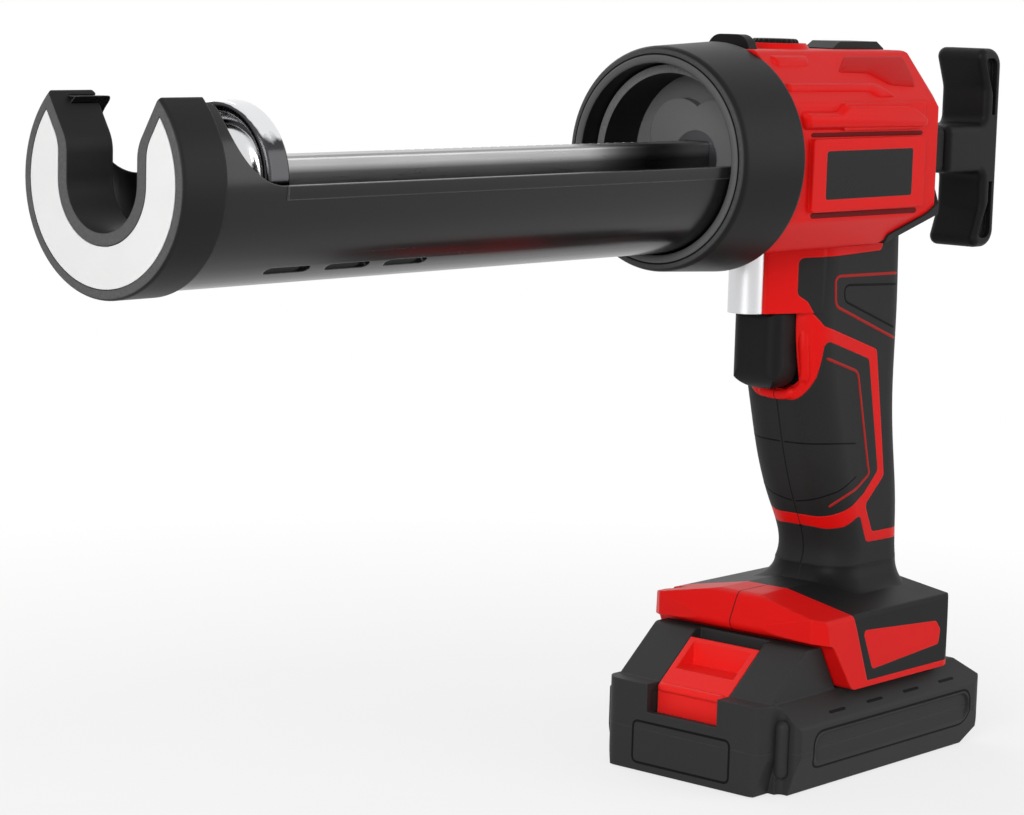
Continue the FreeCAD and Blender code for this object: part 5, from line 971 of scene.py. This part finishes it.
# %% [markdown]
# ## Rings on the rear collar
# The front face of the large collar has an inner lip, where the sleeve of the barrel comes through,
# and a fine groove round it. Both are beads on circles round the barrel's axis.

# %% Collar rings
COLLAR_FACE = 217.2


def ring(radius, width, height, points=121):
    """A bead on a circle round the barrel axis, standing up from the collar towards the nose."""
    angle = np.linspace(0, 2 * np.pi, points)
    path = spots(COLLAR_FACE, radius * np.cos(angle), radius * np.sin(angle))
    path[-1] = path[0]
    return bead(path, np.tile(FORWARD, (points, 1)), width / 1000, height / 1000)


lip, groove = ring(radius=29.8, width=2.4, height=0.6), ring(radius=31.2, width=0.6, height=0.04)
closed_piece("collar_lip", [lip], "sleeve_nylon", "body")
closed_piece("collar_groove", [groove], "dark_gap", "body")

# %% [markdown]
# ## Details of the battery
# The front and both sides of the battery have a shallow frame where a plate would sit, left bare
# here. At each side of the nose stands an upright rounded rib, and the shoulders have short vents.

# %% Battery frames
PLATE_LINE = ((-19.0, -178.6), (19.0, -178.6), (19.0, -192.0), (-19.0, -192.0))
SIDE_LINE = ((258.4, -175.4), (346.6, -175.4), (346.6, -187.3), (258.4, -187.3))
BATTERY_FRONT, BATTERY_HALF = 240.0, 38.0
CASES = ("battery_lower_case", "battery_upper_case")


def frame_line(points, ray):
    """A flat dark bead round an outline that is landed on the battery and closed on itself."""
    path, out = land(points, np.array(ray), CASES)
    path[-1] = path[0]
    return bead(path, out, width=0.0008, height=0.00006)


y, z = closed_course(PLATE_LINE, radius=2.0).T
frames = [frame_line(spots(BATTERY_FRONT, y, z), REARWARD)]
x, z = closed_course(SIDE_LINE, radius=5.0).T
frames += [frame_line(spots(x, side * BATTERY_HALF, z), (0.0, -side, 0.0)) for side, _ in SIDES]
closed_piece("battery_frame_lines", frames, "dark_gap", "battery")

# %% Battery ribs and vents
RIB_PLACE, RIB_OUT, RIB_HEIGHTS = 249.4, 32.2, np.linspace(-189.5, -171.0, 30)
RIB_LEAN = (-0.75, 0.66)
VENT_STARTS, VENT_LENGTH = (269.0, 289.5, 310.0, 330.5), 9.0
VENT_OUT, ABOVE_VENTS = 35.6, -166.0
rails, vents = [], []
for side, _ in SIDES:
    rail = spots(RIB_PLACE, side * RIB_OUT, RIB_HEIGHTS)
    lean = unit(np.tile((RIB_LEAN[0], side * RIB_LEAN[1], 0.0), (len(rail), 1)))
    rails.append(bead(rail, lean, width=0.0046, height=0.0025, sink=0.0015, sides=16))
    for start in VENT_STARTS:
        dash = spots(np.linspace(start, start + VENT_LENGTH, 18), side * VENT_OUT, ABOVE_VENTS)
        path, out = land(dash, DOWNWARD, ("battery_upper_case",))
        vents.append(bead(path, out, width=0.0011, height=0.00005))
closed_piece("battery_nose_ribs", rails, "battery_case", "battery")
closed_piece("battery_vents", vents, "dark_gap", "battery")

# %% [markdown]
# ## Round the latch
# The latch sits in a pocket whose side walls close off the inside of the case. Each wall is a thin
# plate: one outline of the side view, drawn twice, a millimetre apart. The latch itself has a
# rounded lip for the thumb.

# %% Latch pocket and lip
POCKET_WALL = ((242.2, -180.0), (266.0, -180.0), (266.0, -154.0), (264.5, -154.0), (245.5, -167.2),
               (242.2, -168.5))
WALL_FACES = (14.0, 15.0)
LIP_PLACE, LIP_HEIGHT, LIP_SPAN = 245.0, -167.4, np.linspace(-13.2, 13.2, 40)
x, z = np.array(POCKET_WALL).T
walls = [np.stack([spots(x, side * y, z) for y in WALL_FACES]) for side, _ in SIDES]
closed_piece("latch_pocket_walls", walls, "battery_case", "battery")
lip = spots(LIP_PLACE, LIP_SPAN, LIP_HEIGHT)
lean = unit(np.tile((-0.8, 0.0, 0.6), (len(lip), 1)))
thumb = bead(lip, lean, width=0.003, height=0.0011, sink=0.001, sides=14)
closed_piece("latch_lip", [thumb], "red_button", "latch")

# %% [markdown]
# ## Studs on the buffer
# The dark rubber buffer in front of the pull handle has three small studs a side. A stud is a low
# dome: loops that shrink with the cosine of the climbing angle while they rise with its sine.

# %% Domes
STUD_PLACE, STUD_OUT, STUD_HEIGHTS = 355.4, 8.0, (-4.4, 0.0, 4.4)
ANY_SIDEWAYS = (0.31, 0.52, 0.79)
DOME_END, DOME_SINK = 0.47 * np.pi, -0.4


def dome(centre, out, radius, height, sides=14, steps=5):
    """Loops round an axis: size by the cosine, height by the sine of an angle that climbs."""
    side = unit(np.cross(out, ANY_SIDEWAYS))
    other = np.cross(out, side)
    climb = np.concatenate(([0.0], np.linspace(0, DOME_END, steps)))
    lift = np.concatenate(([DOME_SINK], np.sin(climb[1:])))
    turn = np.linspace(0, 2 * np.pi, sides, endpoint=False)
    loop = np.cos(turn)[:, None] * side + np.sin(turn)[:, None] * other
    loops = radius * np.cos(climb)[:, None, None] * loop
    return centre + loops + height * lift[:, None, None] * out


studs = []
for side, _ in SIDES:
    outward = np.array((0.0, side, 0.0))
    for height in STUD_HEIGHTS:
        place, _ = land(spots((STUD_PLACE,), side * STUD_OUT, height), -outward, ("rod_buffer",))
        studs.append(dome(place[0], outward, radius=0.0007, height=0.0004))
closed_piece("buffer_studs", studs, "machined_steel", "rod")

# %% [markdown]
# ## Boss in the pusher cup
# Inside the rim of the pusher cup a wide, shallow boss is pressed up over the end of the rod. It is
# the same dome, much larger and with finer loops, and its plating is bright, because the cartridge
# polishes it.

# %% Cup boss
BEFORE_CUP = (35.0, -10.0, 8.0)
cup_floor, _ = land(at((BEFORE_CUP,)), REARWARD, ("piston",))
middle = np.array((cup_floor[0][0], 0.0, AXIS_HEIGHT / 1000))
boss = dome(middle, FORWARD, radius=0.0136, height=0.0042, sides=64, steps=14)
closed_piece("cup_boss", [boss], "bright_boss", "rod")

# %% [markdown]
# ## Drives of the screws
# Seven screws hold the two halves of the housing and one holds the pull handle. Each head has a
# cross recess for the screwdriver. Seen from outside it is a dark cross, so two short dark strips
# lie over each other on the head.

# %% Cross recesses
ARM_WIDTH = 0.26
ANY_SLANT = (0.2, 0.3, 0.93)


def crosses(places, ray, size, node):
    """Two beads at right angles through each place, as long as the size, landed along the ray."""
    side = unit(np.cross(ray, ANY_SLANT))
    reach = np.linspace(-size / 2, size / 2, 9)[:, None]
    arms = []
    for arm in (side, np.cross(ray, side)):
        for place in at(places):
            path, out = land(place + reach * arm, ray, (node,))
            arms.append(bead(path, out, ARM_WIDTH * size, height=0.00004))
    return arms


HEADS = ((253.99, 30.0, -20.46), (253.99, 30.0, 18.15), (326.0, 30.0, 17.49),
         (287.44, 16.5, -35.78), (310.96, 16.5, -90.4), (318.16, 16.5, -119.15),
         (274.48, 30.0, -144.44))
PULL_HEAD = ((393.0, 0.0, 0.0),)
housing_drives = crosses(HEADS, INTO_RIGHT, 0.0034, "housing_screws")
closed_piece("housing_screw_drives", housing_drives, "dark_gap", "body")
pull_drive = crosses(PULL_HEAD, FORWARD, 0.0055, "t_handle_screw")
closed_piece("pull_screw_drive", pull_drive, "dark_gap", "rod")

# %% [markdown]
# ## Size
# The added pieces are thin, so the dressed tool has to stay in the box of the solids.
